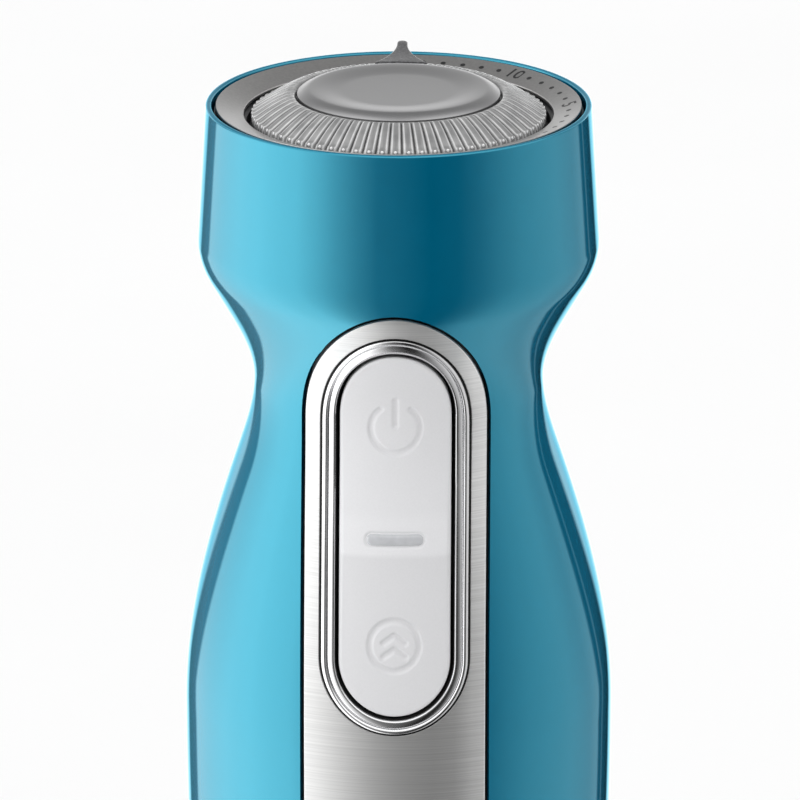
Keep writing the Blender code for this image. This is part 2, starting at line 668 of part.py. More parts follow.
def speed_dial(look):
    """Clear knob: conical skirt, seat for the cap, hub for the shaft, and the pointer."""
    top = RIM_Z + DIAL_TOP
    seat = RIM_Z + CAP_BOTTOM - GAP
    skirt_bottom = RIM_Z - 3.6 * MM
    inside = RIM_Z - 1.2 * MM
    hub_radius = 5 * MM
    hub_bottom = RIM_Z - 4.0 * MM
    bore = SHAFT_RADIUS + GAP
    bore_top = RIM_Z - SHAFT_DEPTHS[0] + GAP
    knob = turned([(0, seat), (CAP_RADIUS + GAP, seat), (CAP_RADIUS + GAP, top - 0.7 * MM),
                   (DIAL_SHOULDER_RADIUS - 0.6 * MM, top), (DIAL_SHOULDER_RADIUS, top - 0.1 * MM),
                   (DIAL_RADIUS, RIM_Z - DIAL_EDGE_DEPTH), (DIAL_RADIUS, skirt_bottom),
                   (DIAL_RADIUS - 1.6 * MM, skirt_bottom), (DIAL_RADIUS - 5.5 * MM, inside),
                   (hub_radius, inside), (hub_radius, hub_bottom), (bore, hub_bottom),
                   (bore, bore_top), (0, bore_top)], closed=False)
    low, high = (RIM_Z + height for height in POINTER_HEIGHTS)
    lug = prism(pointer_outline(), low, high, facing_front=False)
    lug = cut(lug, cylinder(CAP_RADIUS + GAP, RIM_Z, RIM_Z + FAR, ROUND))
    finish(join(knob, lug), "speed_dial", look, (0, 0, RIM_Z))


def dial_cap(look):
    edge = 0.4 * MM
    top = RIM_Z + CAP_TOP
    bottom = RIM_Z + CAP_BOTTOM
    finish(turned([(0, top), (CAP_RADIUS - edge, top), (CAP_RADIUS, top - edge),
                   (CAP_RADIUS, bottom), (0, bottom)], closed=False), "dial_cap", look, (0, 0, RIM_Z))


def potentiometer(body_look, shaft_look):
    bush_top = RIM_Z - POT_BUSH_DEPTH
    body_top, body_bottom = (RIM_Z - depth for depth in POT_DEPTHS)
    bore = SHAFT_RADIUS + GAP
    bore_floor = body_bottom + 1.2 * MM
    finish(turned([(0, bore_floor), (bore, bore_floor), (bore, bush_top),
                   (POT_BUSH_RADIUS, bush_top), (POT_BUSH_RADIUS, body_top),
                   (POT_RADIUS, body_top), (POT_RADIUS, body_bottom), (0, body_bottom)],
                  FINE, closed=False), "speed_potentiometer", body_look)
    shaft_top, shaft_bottom = (RIM_Z - depth for depth in SHAFT_DEPTHS)
    finish(cylinder(SHAFT_RADIUS, shaft_bottom, shaft_top), "potentiometer_shaft", shaft_look,
           (0, 0, RIM_Z))


# --- motor ---------------------------------------------------------------------------------------
def ring_profile(outer, inner, low, high):
    return [(outer, high), (outer, low), (inner, low), (inner, high)]


def tube_part(name, look, outer, inner, low, high, sides=FINE):
    finish(turned(ring_profile(outer, inner, low, high), sides), name, look)


def screw_holes(low, high):
    return [cylinder(SCREW_HOLE, low, high, FINE, "Z", (side * SCREW_X, 0)) for side in (-1, 1)]


def field_core(look):
    """Laminated yoke with two poles, one in front of the rotor and one behind it."""
    low, high = CORE_Z
    yoke = turned(ring_profile(BRACKET_RADIUS, CORE_YOKE, low, high), 36)
    root = CORE_YOKE + 1.5 * MM
    poles = box((-POLE_HALF_WIDTH, -root, low), (POLE_HALF_WIDTH, root, high))
    poles = cut(poles, cylinder(CORE_BORE, 0, RIM_Z, 36))
    core = join(yoke, *split_bodies(poles))
    finish(cut(core, *screw_holes(0, RIM_Z)), "field_core", look)


def split_bodies(piece):
    """Separate the front half of a piece from its rear half."""
    copy = add_object("front", piece.data.copy())
    front = common(copy, box((-FAR, -FAR, 0), (FAR, 0, RIM_Z)))
    rear = common(piece, box((-FAR, 0, 0), (FAR, FAR, RIM_Z)))
    return front, rear


def field_coil(name, side, look):
    low, high = CORE_Z
    near, away = sorted(side * y for y in COIL_Y)
    coil = box((-COIL_HALF_WIDTH, near, low - COIL_OVERHANG),
               (COIL_HALF_WIDTH, away, high + COIL_OVERHANG))
    pole = POLE_HALF_WIDTH + GAP
    finish(cut(coil, box((-pole, -FAR, low - GAP), (pole, FAR, high + GAP))), name, look)


def around(count):
    return [2 * pi * i / count for i in range(count)]


def armature(core_look, winding_look):
    """Slotted rotor core, and the winding: two end rings joined by the bars in the slots."""
    low, high = ARMATURE_Z
    outer, inner = WINDING_RADII
    core = turned(ring_profile(ROTOR_RADIUS, SHAFT_HOLE, low, high), 24)
    winding = turned(ring_profile(outer, inner, low - WINDING_HEIGHT, low - GAP), FINE)
    upper_ring = turned(ring_profile(outer, inner, high + GAP, high + WINDING_HEIGHT), FINE)
    bar_end = WINDING_HEIGHT / 2
    for angle in around(SLOT_COUNT):
        centre = (SLOT_CIRCLE * cos(angle), SLOT_CIRCLE * sin(angle))
        core = cut(core, cylinder(SLOT_RADIUS, 0, RIM_Z, 8, "Z", centre))
        bar = cylinder(BAR_RADIUS, low - bar_end, high + bar_end, 6, "Z", centre)
        winding = join(winding, bar)
    finish(core, "armature_core", core_look)
    finish(join(winding, upper_ring), "armature_winding", winding_look)


def bar_along_x(side, reach, half):
    """A bar level with the brushes, on one side of the commutator."""
    low, high = sorted(side * x for x in reach)
    half_y, half_z = half
    return box((low, -half_y, BRUSH_Z - half_z), (high, half_y, BRUSH_Z + half_z))


def brushes(brush_look, holder_look):
    """A carbon brush on each side of the commutator, each in its brass holder."""
    for side, word in ((-1, "left"), (1, "right")):
        finish(bar_along_x(side, BRUSH_X, BRUSH_HALF), f"carbon_brush_{word}", brush_look)
        slot = bar_along_x(side, (0, FAR), [half + GAP for half in BRUSH_HALF])
        holder = cut(bar_along_x(side, HOLDER_X, HOLDER_HALF), slot)
        finish(holder, f"brush_holder_{word}", holder_look)


def cooling_fan(look):
    low, high = FAN_Z
    hub_radius = 5.2 * MM
    plate_top = low + FAN_PLATE
    fan = turned([(hub_radius, high), (hub_radius, plate_top), (FAN_RADIUS, plate_top),
                  (FAN_RADIUS, low), (SHAFT_HOLE, low), (SHAFT_HOLE, high)], 24)
    half_length, half_thickness, circle = 6.5 * MM, 0.5 * MM, 12 * MM
    for angle in around(FAN_BLADES):
        turn = (Matrix.Rotation(angle, 4, "Z") @ Matrix.Translation((circle, 0, 0))
                @ Matrix.Rotation(radians(25), 4, "Z"))
        fan = join(fan, box((-half_length, -half_thickness, low + FAN_PLATE / 2),
                            (half_length, half_thickness, high - 1 * MM), turn))
    finish(fan, "cooling_fan", look)


def bracket(name, low, high, boss_high, look):
    """Motor end plate with a boss for the bearing, air slots and two screw holes."""
    bore = BEARING_RADIUS + GAP
    plate = turned([(BOSS_RADIUS, boss_high), (BOSS_RADIUS, high), (BRACKET_RADIUS, high),
                    (BRACKET_RADIUS, low), (bore, low), (bore, boss_high)], 24)
    slot_circle, half_radial, half_across, past = 16.5 * MM, 4 * MM, 5 * MM, 1 * MM
    slots = []
    for angle in around(4):
        turn = Matrix.Rotation(angle + pi / 4, 4, "Z") @ Matrix.Translation((slot_circle, 0, 0))
        slots.append(box((-half_radial, -half_across, low - past),
                         (half_radial, half_across, high + past), turn))
    finish(cut(plate, *slots, *screw_holes(low - past, high + past)), name, look)


def motor_screws(look):
    for side, word in ((-1, "left"), (1, "right")):
        shank, head = (cylinder(*size, 12, "Z", (side * SCREW_X, 0))
                       for size in (SCREW_SHANK, SCREW_HEAD))
        finish(join(shank, head), f"motor_screw_{word}", look)


def dampers(look):
    for name, (low, high) in (("upper_damper", UPPER_DAMPER_Z), ("lower_damper", LOWER_DAMPER_Z)):
        outer = min(body_radius(RIM_Z - low), body_radius(RIM_Z - high)) - WALL - 2 * GAP
        tube_part(name, look, outer, BRACKET_RADIUS + GAP, low, high, ROUND)


def motor(steel, lamination, copper, black, carbon, brass, bronze, cast, rubber):
    field_core(lamination)
    field_coil("field_coil_front", -1, copper)
    field_coil("field_coil_rear", 1, copper)
    armature(lamination, copper)
    finish(cylinder(MOTOR_SHAFT, *SHAFT_Z), "armature_shaft", steel)
    tube_part("commutator", copper, COMMUTATOR_RADIUS, SHAFT_HOLE, *COMMUTATOR_Z)
    brushes(carbon, brass)
    cooling_fan(black)
    bracket("lower_bracket", *LOWER_BRACKET_Z, cast)
    bracket("upper_bracket", *UPPER_BRACKET_Z, cast)
    tube_part("lower_bearing", bronze, BEARING_RADIUS, SHAFT_HOLE, *LOWER_BEARING_Z)
    tube_part("upper_bearing", bronze, BEARING_RADIUS, SHAFT_HOLE, *UPPER_BEARING_Z)
    motor_screws(steel)
    dampers(rubber)


# --- coupling and wand ---------------------------------------------------------------------------
def drive_coupling(look):
    low, hex_top, high = COUPLING_Z
    piece = cylinder(COUPLING_RADIUS, low, high)
    recess = cylinder(HEX_FEMALE, 0, hex_top, 6)
    bore = cylinder(SHAFT_HOLE, hex_top - 1 * MM, RIM_Z)
    finish(cut(piece, recess, bore), "drive_coupling", look)


def key_boxes(near, away, half, low, high):
    for side in (-1, 1):
        first, second = sorted((side * near, side * away))
        yield box((first, -half, low), (second, half, high))


def wand_socket(look):
    """End ring of the handle: a cup whose bore takes the wand, with keyways and a ring groove."""
    groove = SNAP_GROOVE_RADII[1]
    groove_low, groove_high = SNAP_Z - SNAP_HALF_GROOVE, SNAP_Z + SNAP_HALF_GROOVE
    housing_end = RIM_Z - HANDLE_LENGTH - GAP
    flange = body_radius(HANDLE_LENGTH) - WALL - GAP
    ring_top, ring_bottom = SOCKET_RING_RADII
    shaft_way = COUPLING_RADIUS + 1 * MM
    profile = [(SOCKET_CUP_RADIUS, SOCKET_TOP), (SOCKET_CUP_RADIUS, SNAP_Z), (flange, SNAP_Z),
               (flange, housing_end), (ring_top, housing_end), (ring_bottom, SOCKET_BOTTOM),
               (SOCKET_BORE, SOCKET_BOTTOM), (SOCKET_BORE, groove_low), (groove, groove_low),
               (groove, groove_high), (SOCKET_BORE, groove_high), (SOCKET_BORE, SOCKET_ROOF),
               (shaft_way, SOCKET_ROOF), (shaft_way, SOCKET_TOP)]
    finish(cut(turned(profile), *key_boxes(*KEYWAY)), "wand_socket", look)


def snap_ring(look):
    """Open wire ring in the socket's groove."""
    curve = bpy.data.curves.new("snap_ring", "CURVE")
    curve.dimensions = "3D"
    curve.bevel_depth = SNAP_WIRE
    curve.bevel_resolution = 1
    curve.use_fill_caps = True
    steps = 20
    spline = curve.splines.new("POLY")
    spline.points.add(steps)
    for i, point in enumerate(spline.points):
        angle = pi / 2 + SNAP_OPENING + 2 * (pi - SNAP_OPENING) * i / steps
        point.co = (SNAP_RADIUS * cos(angle), SNAP_RADIUS * sin(angle), SNAP_Z, 1.0)
    finish(bake(add_object("ring", curve)), "snap_ring", look)


def wand_collar(look):
    """Top of the wand: keyed spigot for the socket, flange, and a cone down to the steel tube."""
    groove = SNAP_GROOVE_RADII[0]
    groove_low, groove_high = SNAP_Z - SNAP_HALF_GROOVE, SNAP_Z + SNAP_HALF_GROOVE
    flange_top = SOCKET_BOTTOM - GAP
    flange, cone_end = COLLAR_RADII
    cone_top, cone_bottom = COLLAR_CONE_Z
    steps = 4
    cone = [(cone_end + (flange - cone_end) * (1 - i / steps)**1.8,
             cone_top + (cone_bottom - cone_top) * i / steps) for i in range(steps + 1)]
    bore = TUBE_RADII[0] + GAP
    bush = BEARING_RADIUS + GAP
    tube_end = TUBE_TOP + GAP
    profile = [(SPIGOT_RADIUS - 0.5 * MM, SPIGOT_TOP), (SPIGOT_RADIUS, SPIGOT_TOP - 0.6 * MM),
               (SPIGOT_RADIUS, groove_high), (groove, groove_high), (groove, groove_low),
               (SPIGOT_RADIUS, groove_low), (SPIGOT_RADIUS, flange_top), (flange, flange_top),
               *cone, (bore, cone_bottom), (bore, tube_end), (COLLAR_BORE, tube_end),
               (COLLAR_BORE, BUSH_POCKET_Z), (bush, BUSH_POCKET_Z), (bush, SPIGOT_TOP)]
    finish(join(turned(profile), *key_boxes(*SPIGOT_KEY)), "wand_collar", look)


def wand_tube(look):
    top_radius, end_radius = TUBE_RADII
    taper_top, taper_end = TUBE_TAPER_Z
    outside = [(top_radius, TUBE_TOP), (top_radius, taper_top), (end_radius, taper_end),
               (end_radius, TUBE_BOTTOM)]
    inside = [(radius - TUBE_WALL, z) for radius, z in reversed(outside)]
    finish(turned(outside + inside), "wand_tube", look)


def guard_radius(z):
    """Outer radius of the bell: a sleeve, a flare and a straight skirt."""
    flare_top, flare_bottom = GUARD_FLARE_Z
    if z >= flare_top:
        return GUARD_SLEEVE
    if z <= flare_bottom:
        return GUARD_RADIUS
    t = (flare_top - z) / (flare_top - flare_bottom)
    return GUARD_SLEEVE + (GUARD_RADIUS - GUARD_SLEEVE) * (1 - cos(pi * t)) / 2


def blade_guard(look):
    """Steel bell with a beaded foot and four oval flow windows."""
    flare_top, flare_bottom = GUARD_FLARE_Z
    heights = [GUARD_TOP] + [flare_top + (flare_bottom - flare_top) * i / FLARE_RINGS
                             for i in range(FLARE_RINGS + 1)]
    outside = [(guard_radius(z), z) for z in heights]
    bead_top, bead_high, bead_low = BEAD_Z
    foot = [(GUARD_RADIUS, bead_top), (GUARD_RADIUS + BEAD, bead_high), (GUARD_RADIUS + BEAD, bead_low),
            (GUARD_RADIUS + BEAD - bead_low, 0), (GUARD_RADIUS - GUARD_WALL, 0)]
    sleeve_inside = TUBE_RADII[1] + GAP
    inside = [(max(guard_radius(z + 0.5 * MM) - GUARD_WALL, sleeve_inside), z)
              for z in reversed(heights)]
    piece = turned(outside + foot + inside)
    window = pill_outline(*GUARD_WINDOW, 3)
    for angle in (0, pi / 2):
        cutter = prism(window, -FAR, FAR)
        cutter.matrix_world = Matrix.Rotation(angle, 4, "Z")
        piece = cut(piece, bake(cutter))
    finish(piece, "blade_guard", look)


def bearing_carrier(look):
    """Plastic plug in the end of the tube that holds the lower bush and the seal."""
    outer = TUBE_RADII[1] - TUBE_WALL - GAP
    bush = BEARING_RADIUS + GAP
    low, cone_top, high = CARRIER_Z
    pocket, pocket_top = CARRIER_SEAL_POCKET
    neck, neck_top = CARRIER_NECK
    finish(turned([(outer, high), (outer, cone_top), (outer - 1 * MM, low), (pocket, low),
                   (pocket, pocket_top), (neck, pocket_top), (neck, neck_top), (bush, neck_top),
                   (bush, high)], 24), "bearing_carrier", look)


def drive_line(steel, plastic, bronze, rubber):
    """Shaft through the wand with its bushes, its seal and the hexagonal plug on top."""
    inner = DRIVE_SHAFT + GAP
    finish(cylinder(DRIVE_SHAFT, *DRIVE_Z), "drive_shaft", steel)
    hexagon = cylinder(HEX_MALE, *HEX_Z, 6)
    finish(cut(hexagon, cylinder(inner, 0, DRIVE_Z[1] + GAP)), "wand_coupling", plastic)
    tube_part("upper_bush", bronze, BEARING_RADIUS, inner, *UPPER_BUSH_Z)
    tube_part("lower_bush", bronze, BEARING_RADIUS, inner, *LOWER_BUSH_Z)
    tube_part("shaft_seal", rubber, SEAL_RING_RADIUS, inner, *SEAL_RING_Z)


def blade(look):
    """Four thin wings on a round hub: two bent up and two bent down."""
    hub = cylinder(BLADE_HUB, BLADE_Z - BLADE_HALF_HUB, BLADE_Z + BLADE_HALF_HUB)
    wing = [(0, -3.6 * MM), (WING_REACH * 0.85, -3.2 * MM), (WING_REACH, 1.2 * MM),
            (WING_REACH * 0.96, 3.0 * MM), (0, 3.6 * MM)]
    for i, angle in enumerate(around(4)):
        bend = BEND_DOWN if i % 2 else BEND_UP
        plate = prism(wing, -WING_HALF_THICKNESS, WING_HALF_THICKNESS, facing_front=False)
        plate.matrix_world = (Matrix.Translation((0, 0, BLADE_Z)) @ Matrix.Rotation(angle, 4, "Z")
                              @ Matrix.Translation((WING_START, 0, 0))
                              @ Matrix.Rotation(bend, 4, "Y") @ Matrix.Rotation(WING_PITCH, 4, "X"))
        hub = join(hub, bake(plate))
    finish(cut(hub, cylinder(DRIVE_SHAFT + GAP, 0, RIM_Z)), "blade", look)


def blade_fixings(steel):
    """Spacer above the blade and nut below it."""
    tube_part("blade_spacer", steel, SPACER_RADIUS, DRIVE_SHAFT + GAP, *SPACER_Z)
    nut = cylinder(SPACER_RADIUS, *NUT_Z, 6)
    finish(cut(nut, cylinder(DRIVE_SHAFT + GAP, 0, RIM_Z)), "blade_nut", steel)


def build():
    blue = material("gloss_blue", (0.02, 0.30, 0.46), 0.12)
    steel_panel = material("brushed_steel", (0.62, 0.62, 0.61), 0.32, 1.0)
    chrome = material("chrome", (0.85, 0.85, 0.86), 0.06, 1.0)
    key_white = material("satin_white", (0.78, 0.78, 0.80), 0.35)
    rubber = material("black_rubber", (0.02, 0.02, 0.02), 0.7)
    black = material("black_plastic", (0.03, 0.03, 0.035), 0.45)
    clear = material("clear_plastic", (0.75, 0.77, 0.78), 0.08, alpha=0.5)
    silver = material("satin_silver", (0.5, 0.5, 0.52), 0.35, 0.8)
    steel = material("steel", (0.6, 0.6, 0.6), 0.3, 1.0)
    lamination = material("lamination", (0.25, 0.25, 0.26), 0.5, 0.8)
    copper = material("copper", (0.72, 0.32, 0.16), 0.35, 1.0)
    brass = material("brass", (0.75, 0.58, 0.25), 0.35, 1.0)
    bronze = material("bronze", (0.55, 0.38, 0.2), 0.45, 1.0)
    carbon = material("carbon", (0.04, 0.04, 0.045), 0.6)
    cast = material("cast_alloy", (0.5, 0.5, 0.52), 0.5, 1.0)
    board = material("board_green", (0.03, 0.2, 0.08), 0.5)
    yellow = material("capacitor_yellow", (0.75, 0.55, 0.08), 0.5)
    grey = material("grey_plastic", (0.16, 0.16, 0.17), 0.45)

    clear_scene()
    front_housing(blue)
    rear_housing(blue)
    cord_gland(rubber)
    front_panel(steel_panel)
    panel_gasket(rubber)
    button_bezel(chrome)
    button_seal(rubber)
    rocker_button(key_white)
    light_bar(clear)
    rocker_pin(steel)
    button_carrier(black)
    switch("power_switch", "power_plunger", 1, black, brass)
    switch("turbo_switch", "turbo_plunger", -1, black, brass)
    control_board(board)
    board_components(clear, yellow)
    scale_ring(steel_panel)
    dial_tray(black)
    speed_dial(clear)
    dial_cap(silver)
    potentiometer(grey, steel)
    motor(steel, lamination, copper, black, carbon, brass, bronze, cast, rubber)
    drive_coupling(black)
    wand_socket(grey)
    snap_ring(steel)
    wand_collar(grey)
    wand_tube(steel)
    blade_guard(steel)
    bearing_carrier(black)
    drive_line(steel, black, bronze, rubber)
    blade(steel)
    blade_fixings(steel)


build()
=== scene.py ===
"""Immersion blender: fine meshes, materials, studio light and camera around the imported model.

Metres, +Z up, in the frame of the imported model. Heights on the handle are depths below its rim.
"""
import json
from math import atan2, cos, exp, floor, pi, radians, sin, sqrt

import bmesh
import bpy
from mathutils import Matrix, Vector
from mathutils.geometry import delaunay_2d_cdt


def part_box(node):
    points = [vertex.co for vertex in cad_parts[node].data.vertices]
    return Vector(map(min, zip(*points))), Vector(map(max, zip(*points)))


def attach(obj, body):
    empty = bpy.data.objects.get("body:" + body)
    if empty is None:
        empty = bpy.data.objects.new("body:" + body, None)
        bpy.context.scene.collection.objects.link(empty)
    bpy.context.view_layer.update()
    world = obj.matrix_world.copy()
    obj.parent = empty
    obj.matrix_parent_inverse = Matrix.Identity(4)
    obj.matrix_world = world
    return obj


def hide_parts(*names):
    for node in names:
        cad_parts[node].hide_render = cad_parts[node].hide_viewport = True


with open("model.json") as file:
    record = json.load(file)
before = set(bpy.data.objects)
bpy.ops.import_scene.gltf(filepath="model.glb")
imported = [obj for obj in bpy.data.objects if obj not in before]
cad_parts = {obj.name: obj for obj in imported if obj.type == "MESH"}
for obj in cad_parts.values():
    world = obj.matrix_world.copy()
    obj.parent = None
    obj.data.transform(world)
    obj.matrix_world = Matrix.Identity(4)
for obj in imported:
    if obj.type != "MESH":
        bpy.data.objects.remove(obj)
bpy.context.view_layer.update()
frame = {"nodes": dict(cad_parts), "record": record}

MM = 0.001


def mm(*lengths):
    """A list of lengths given in millimetres."""
    return [length * MM for length in lengths]


def evenly(low, high, count):
    """Evenly spaced values from low to high."""
    return [low + (high - low) * i / count for i in range(count + 1)]


NODES = frame["nodes"]
SIDES = 160  # sides of a turned piece
FINE_SIDES = 256  # sides of the scale ring and the dial tray
ON_AXIS = 1e-7  # a radius below this is a point on the axis
CDT_GAP = 1e-9  # points of a fill that are closer than this are one
FAR = 60 * MM  # reach of a cutter that runs right through

# --- handle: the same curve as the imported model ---
RIM_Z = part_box("front_housing")[1].z
HANDLE_LENGTH = RIM_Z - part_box("front_housing")[0].z
# depth below the rim and radius, both in millimetres, and radius change per unit of depth
BODY_STATIONS = [(depth * MM, radius * MM, slope) for depth, radius, slope in (
    (0.0, 29.86, 0.060), (21.5, 31.15, 0.060), (27.5, 29.60, -0.573), (33.0, 26.40, -0.573),
    (44.0, 22.53, 0.000), (56.0, 25.20, 0.335), (97.0, 33.50, 0.000), (216.0, 27.00, -0.070))]
RING_STEP = 1.2 * MM
WALL = 2.8 * MM
LIP_WIDTH = 0.95 * MM
LIP_ROUND = 0.42 * MM
LEDGE_DEPTHS = mm(5.0, 8.0)
LEDGE_RADIUS = 26.6 * MM
END_CHAMFER = 0.3 * MM
SEAM_HALF = 0.04 * MM
RECESS = 1.9 * MM
FRONT_CUT_END = -8 * MM  # where the cutters of the front shell stop

# --- front panel and key: half widths, top depths and heights of the half-elliptic arches ---
PANEL_BOTTOM = HANDLE_LENGTH - 0.3 * MM
CUTOUT = mm(14.6, 25.3, 20.1)
PANEL = mm(14.0, 25.9, 19.5)
WINDOW = mm(11.65, 29.45, 16.0)
BEZEL = mm(11.35, 29.75, 15.7)
BEZEL_INSIDE = mm(9.2, 32.4, 11.8)
KEY = mm(8.6, 33.0, 11.2)
KEY_END_DEPTH = 80.4 * MM  # centre of the round lower ends of window, bezel and key
KEY_TOP = 0.2 * MM
KEY_BOTTOM = -2.0 * MM
KEY_EDGE = 0.5 * MM
KEY_GRID = 0.2 * MM
KEY_SIDE_STEP = 0.6 * MM
BACK_GRID = 3.0 * MM  # mesh width of the hidden backs of panel and key
# flat band round the light bar, and the slopes off it
SADDLE_HALF, SADDLE_HEIGHT, SADDLE_FALL = mm(2.1, 0.38, 4.0)
_, PIVOT_Y, PIVOT_Z = frame["record"]["behaviour"]["joints"][0]["pos_m"]
PIVOT_DEPTH = RIM_Z - PIVOT_Z
SYMBOL_RADIUS = 3.8 * MM
SYMBOL_LINE = 0.46 * MM  # about half the width of a pressed line
SYMBOL_PRESS = 0.30 * MM
POWER_DEPTH = 45.6 * MM
TURBO_DEPTH = 78.0 * MM
LIGHT_BAR_HALF = mm(4.5, 0.95)
GROOVE_DEPTH = 0.25 * MM  # the fine line round the light bar
GROOVE_WIDTH = 0.3 * MM

# --- dial ---
RING_RADII = mm(28.3, 23.96)
RING_DEPTHS = mm(0.14, 1.55)
RING_THICKNESS = 0.6 * MM
SCALE_RADIUS = 26.3 * MM
SCALE_STEP = radians(7.07)  # angle between two neighbouring marks
SCALE_MARKS = 18
SCALE_NUMBERS = {0: "15", 6: "10", 12: "5"}
NUMBER_SIZE = 3.3 * MM
DOT_RADIUS = 0.42 * MM
INK_HALF = 0.012 * MM  # half the thickness of the printed marks
DIAL_RADIUS = 22.8 * MM
DIAL_EDGE_DEPTH = 1.7 * MM
SHOULDER_RADIUS = 17.4 * MM
SHOULDER_HEIGHT = 1.9 * MM
CAP_RADIUS = 15.7 * MM
CAP_TOP = 2.4 * MM
CAP_BOTTOM = 0.9 * MM
RIBS = 70
RIB_SAMPLES = 14
RIB_HEIGHT = 0.40 * MM
RIB_START = 16.3 * MM
RIB_FALL = 1.35  # how the skirt's fall gathers towards its edge
BEAD_PLACE = 0.93  # share of the skirt's length at which a rib ends in a bead
BEAD_SPREAD = 0.035
BEAD_HEIGHT = 0.20 * MM
BEAD_RADIUS = 0.36 * MM
POINTER_REACH = 27.5 * MM
POINTER_TOP = 2.4 * MM


# === mesh helpers ===
def body_radius(depth):
    """The handle's radius at a depth, on a cubic curve between its two nearest stations."""
    for (d0, r0, s0), (d1, r1, s1) in zip(BODY_STATIONS, BODY_STATIONS[1:]):
        if depth <= d1:
            break
    span = d1 - d0
    t = (depth - d0) / span
    return ((2 * t**3 - 3 * t**2 + 1) * r0 + (t**3 - 2 * t**2 + t) * span * s0
            + (3 * t**2 - 2 * t**3) * r1 + (t**3 - t**2) * span * s1)


def body_normal(x, y, depth):
    step = 0.02 * MM
    slope = (body_radius(depth + step) - body_radius(depth - step)) / (2 * step)
    return (Vector((x, y, 0)).normalized() + Vector((0, 0, slope))).normalized()


def front_point(x, depth, offset):
    """The point on the front of the handle at x and depth, offset out from its surface."""
    radius = body_radius(depth) + offset
    return Vector((x, -sqrt(radius**2 - x**2), RIM_Z - depth))


def over_front(offset):
    """Places a point of x and depth on the front of the handle at an offset."""
    return lambda x, depth: front_point(x, depth, offset)


def add_object(name, mesh):
    made = bpy.data.objects.new(name, mesh)
    bpy.context.scene.collection.objects.link(made)
    return made


def object_from(work, name):
    bmesh.ops.recalc_face_normals(work, faces=work.faces)
    mesh = bpy.data.meshes.new(name)
    work.to_mesh(mesh)
    work.free()
    return add_object(name, mesh)


def lathe(profile, sides=SIDES, closed=True, shape=None):
    """Turn a profile of (radius, z) points about Z; shape may move each point by its angle."""
    work = bmesh.new()
    rings = []
    for i, (radius, z) in enumerate(profile):
        if radius < ON_AXIS:
            rings.append([work.verts.new((0, 0, z))] * sides)
            continue
        ring = []
        for j in range(sides):
            angle = 2 * pi * j / sides
            r, height = (radius, z) if shape is None else shape(i, radius, z, angle)
            ring.append(work.verts.new((r * cos(angle), r * sin(angle), height)))
        rings.append(ring)
    if closed:
        rings.append(rings[0])
    for first, second in zip(rings, rings[1:]):
        for j in range(sides):
            k = (j + 1) % sides
            corners = dict.fromkeys((first[j], first[k], second[k], second[j]))
            if len(corners) > 2:
                work.faces.new(list(corners))
    return object_from(work, "lathe")


def soften(profile, radius):
    """Round the corners of a closed profile that turn by more than a small angle."""
    least_bend, most_share, steps = radians(25), 0.45, 4
    points = [Vector(p) for p in profile]
    count = len(points)
    made = []
    for i, point in enumerate(points):
        before = points[i - 1] - point
        after = points[(i + 1) % count] - point
        bend = pi - before.angle(after)
        if bend < least_bend:
            made.append(tuple(point))
            continue
        reach = min(radius, most_share * before.length, most_share * after.length)
        start = point + before.normalized() * reach
        end = point + after.normalized() * reach
        for k in range(steps + 1):
            t = k / steps
            made.append(tuple(start * (1 - t)**2 + point * 2 * t * (1 - t) + end * t**2))
    return made


def loft(first, second):
    """The solid between two flat outlines of matching points."""
    work = bmesh.new()
    near = [work.verts.new(point) for point in first]
    away = [work.verts.new(point) for point in second]
    work.faces.new(near)
    work.faces.new(away)
    for i in range(len(near)):
        work.faces.new((near[i - 1], near[i], away[i], away[i - 1]))
    return object_from(work, "loft")


def prism(outline, low, high):
    """Extrude an outline of (x, z) points along Y."""
    return loft([(x, low, z) for x, z in outline], [(x, high, z) for x, z in outline])


def box(low, high):
    work = bmesh.new()
    bmesh.ops.create_cube(work, size=1.0)
    size = Vector(high) - Vector(low)
    middle = (Vector(high) + Vector(low)) / 2
    work.transform(Matrix.Translation(middle) @ Matrix.Diagonal((*size, 1.0)))
    return object_from(work, "box")


def rod(radius, low, high, sides=48, turn=None):
    """A cylinder along Z, optionally turned by a matrix."""
    work = bmesh.new()
    bmesh.ops.create_cone(work, cap_ends=True, segments=sides, radius1=radius, radius2=radius,
                          depth=high - low)
    work.transform(Matrix.Translation((0, 0, (low + high) / 2)))
    if turn is not None:
        work.transform(turn)
    return object_from(work, "rod")


def bake(piece):
    """Apply the piece's modifiers."""
    bpy.context.view_layer.update()
    evaluated = piece.evaluated_get(bpy.context.evaluated_depsgraph_get())
    mesh = bpy.data.meshes.new_from_object(evaluated)
    bpy.data.objects.remove(piece)
    return add_object("baked", mesh)


def combine(piece, operation, *tools):
    for tool in tools:
        boolean = piece.modifiers.new("boolean", "BOOLEAN")
        boolean.object = tool
        boolean.operation = operation
        boolean.solver = "EXACT"
        piece = bake(piece)
        bpy.data.objects.remove(tool)
    return piece


def rounded(piece, width, segments=2):
    """Round the sharp edges of a piece with a bevel."""
    bevel = piece.modifiers.new("bevel", "BEVEL")
    bevel.width = width
    bevel.segments = segments
    bevel.limit_method = "ANGLE"
    bevel.angle_limit = radians(35)
    return bake(piece)


def smooth(piece, angle=30):
    piece.data.shade_smooth()
    piece.data.set_sharp_from_angle(angle=radians(angle))
    return piece


def show(piece, name, body, slot, *nodes, look=None):
    """Name a finished piece, give it its slot's look or its own, and let it ride on its body."""
    piece.name = piece.data.name = name
    piece.data.materials.clear()
    piece.data.materials.append(look or LOOKS[slot])
    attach(piece, body)
    if nodes:
        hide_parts(*nodes)


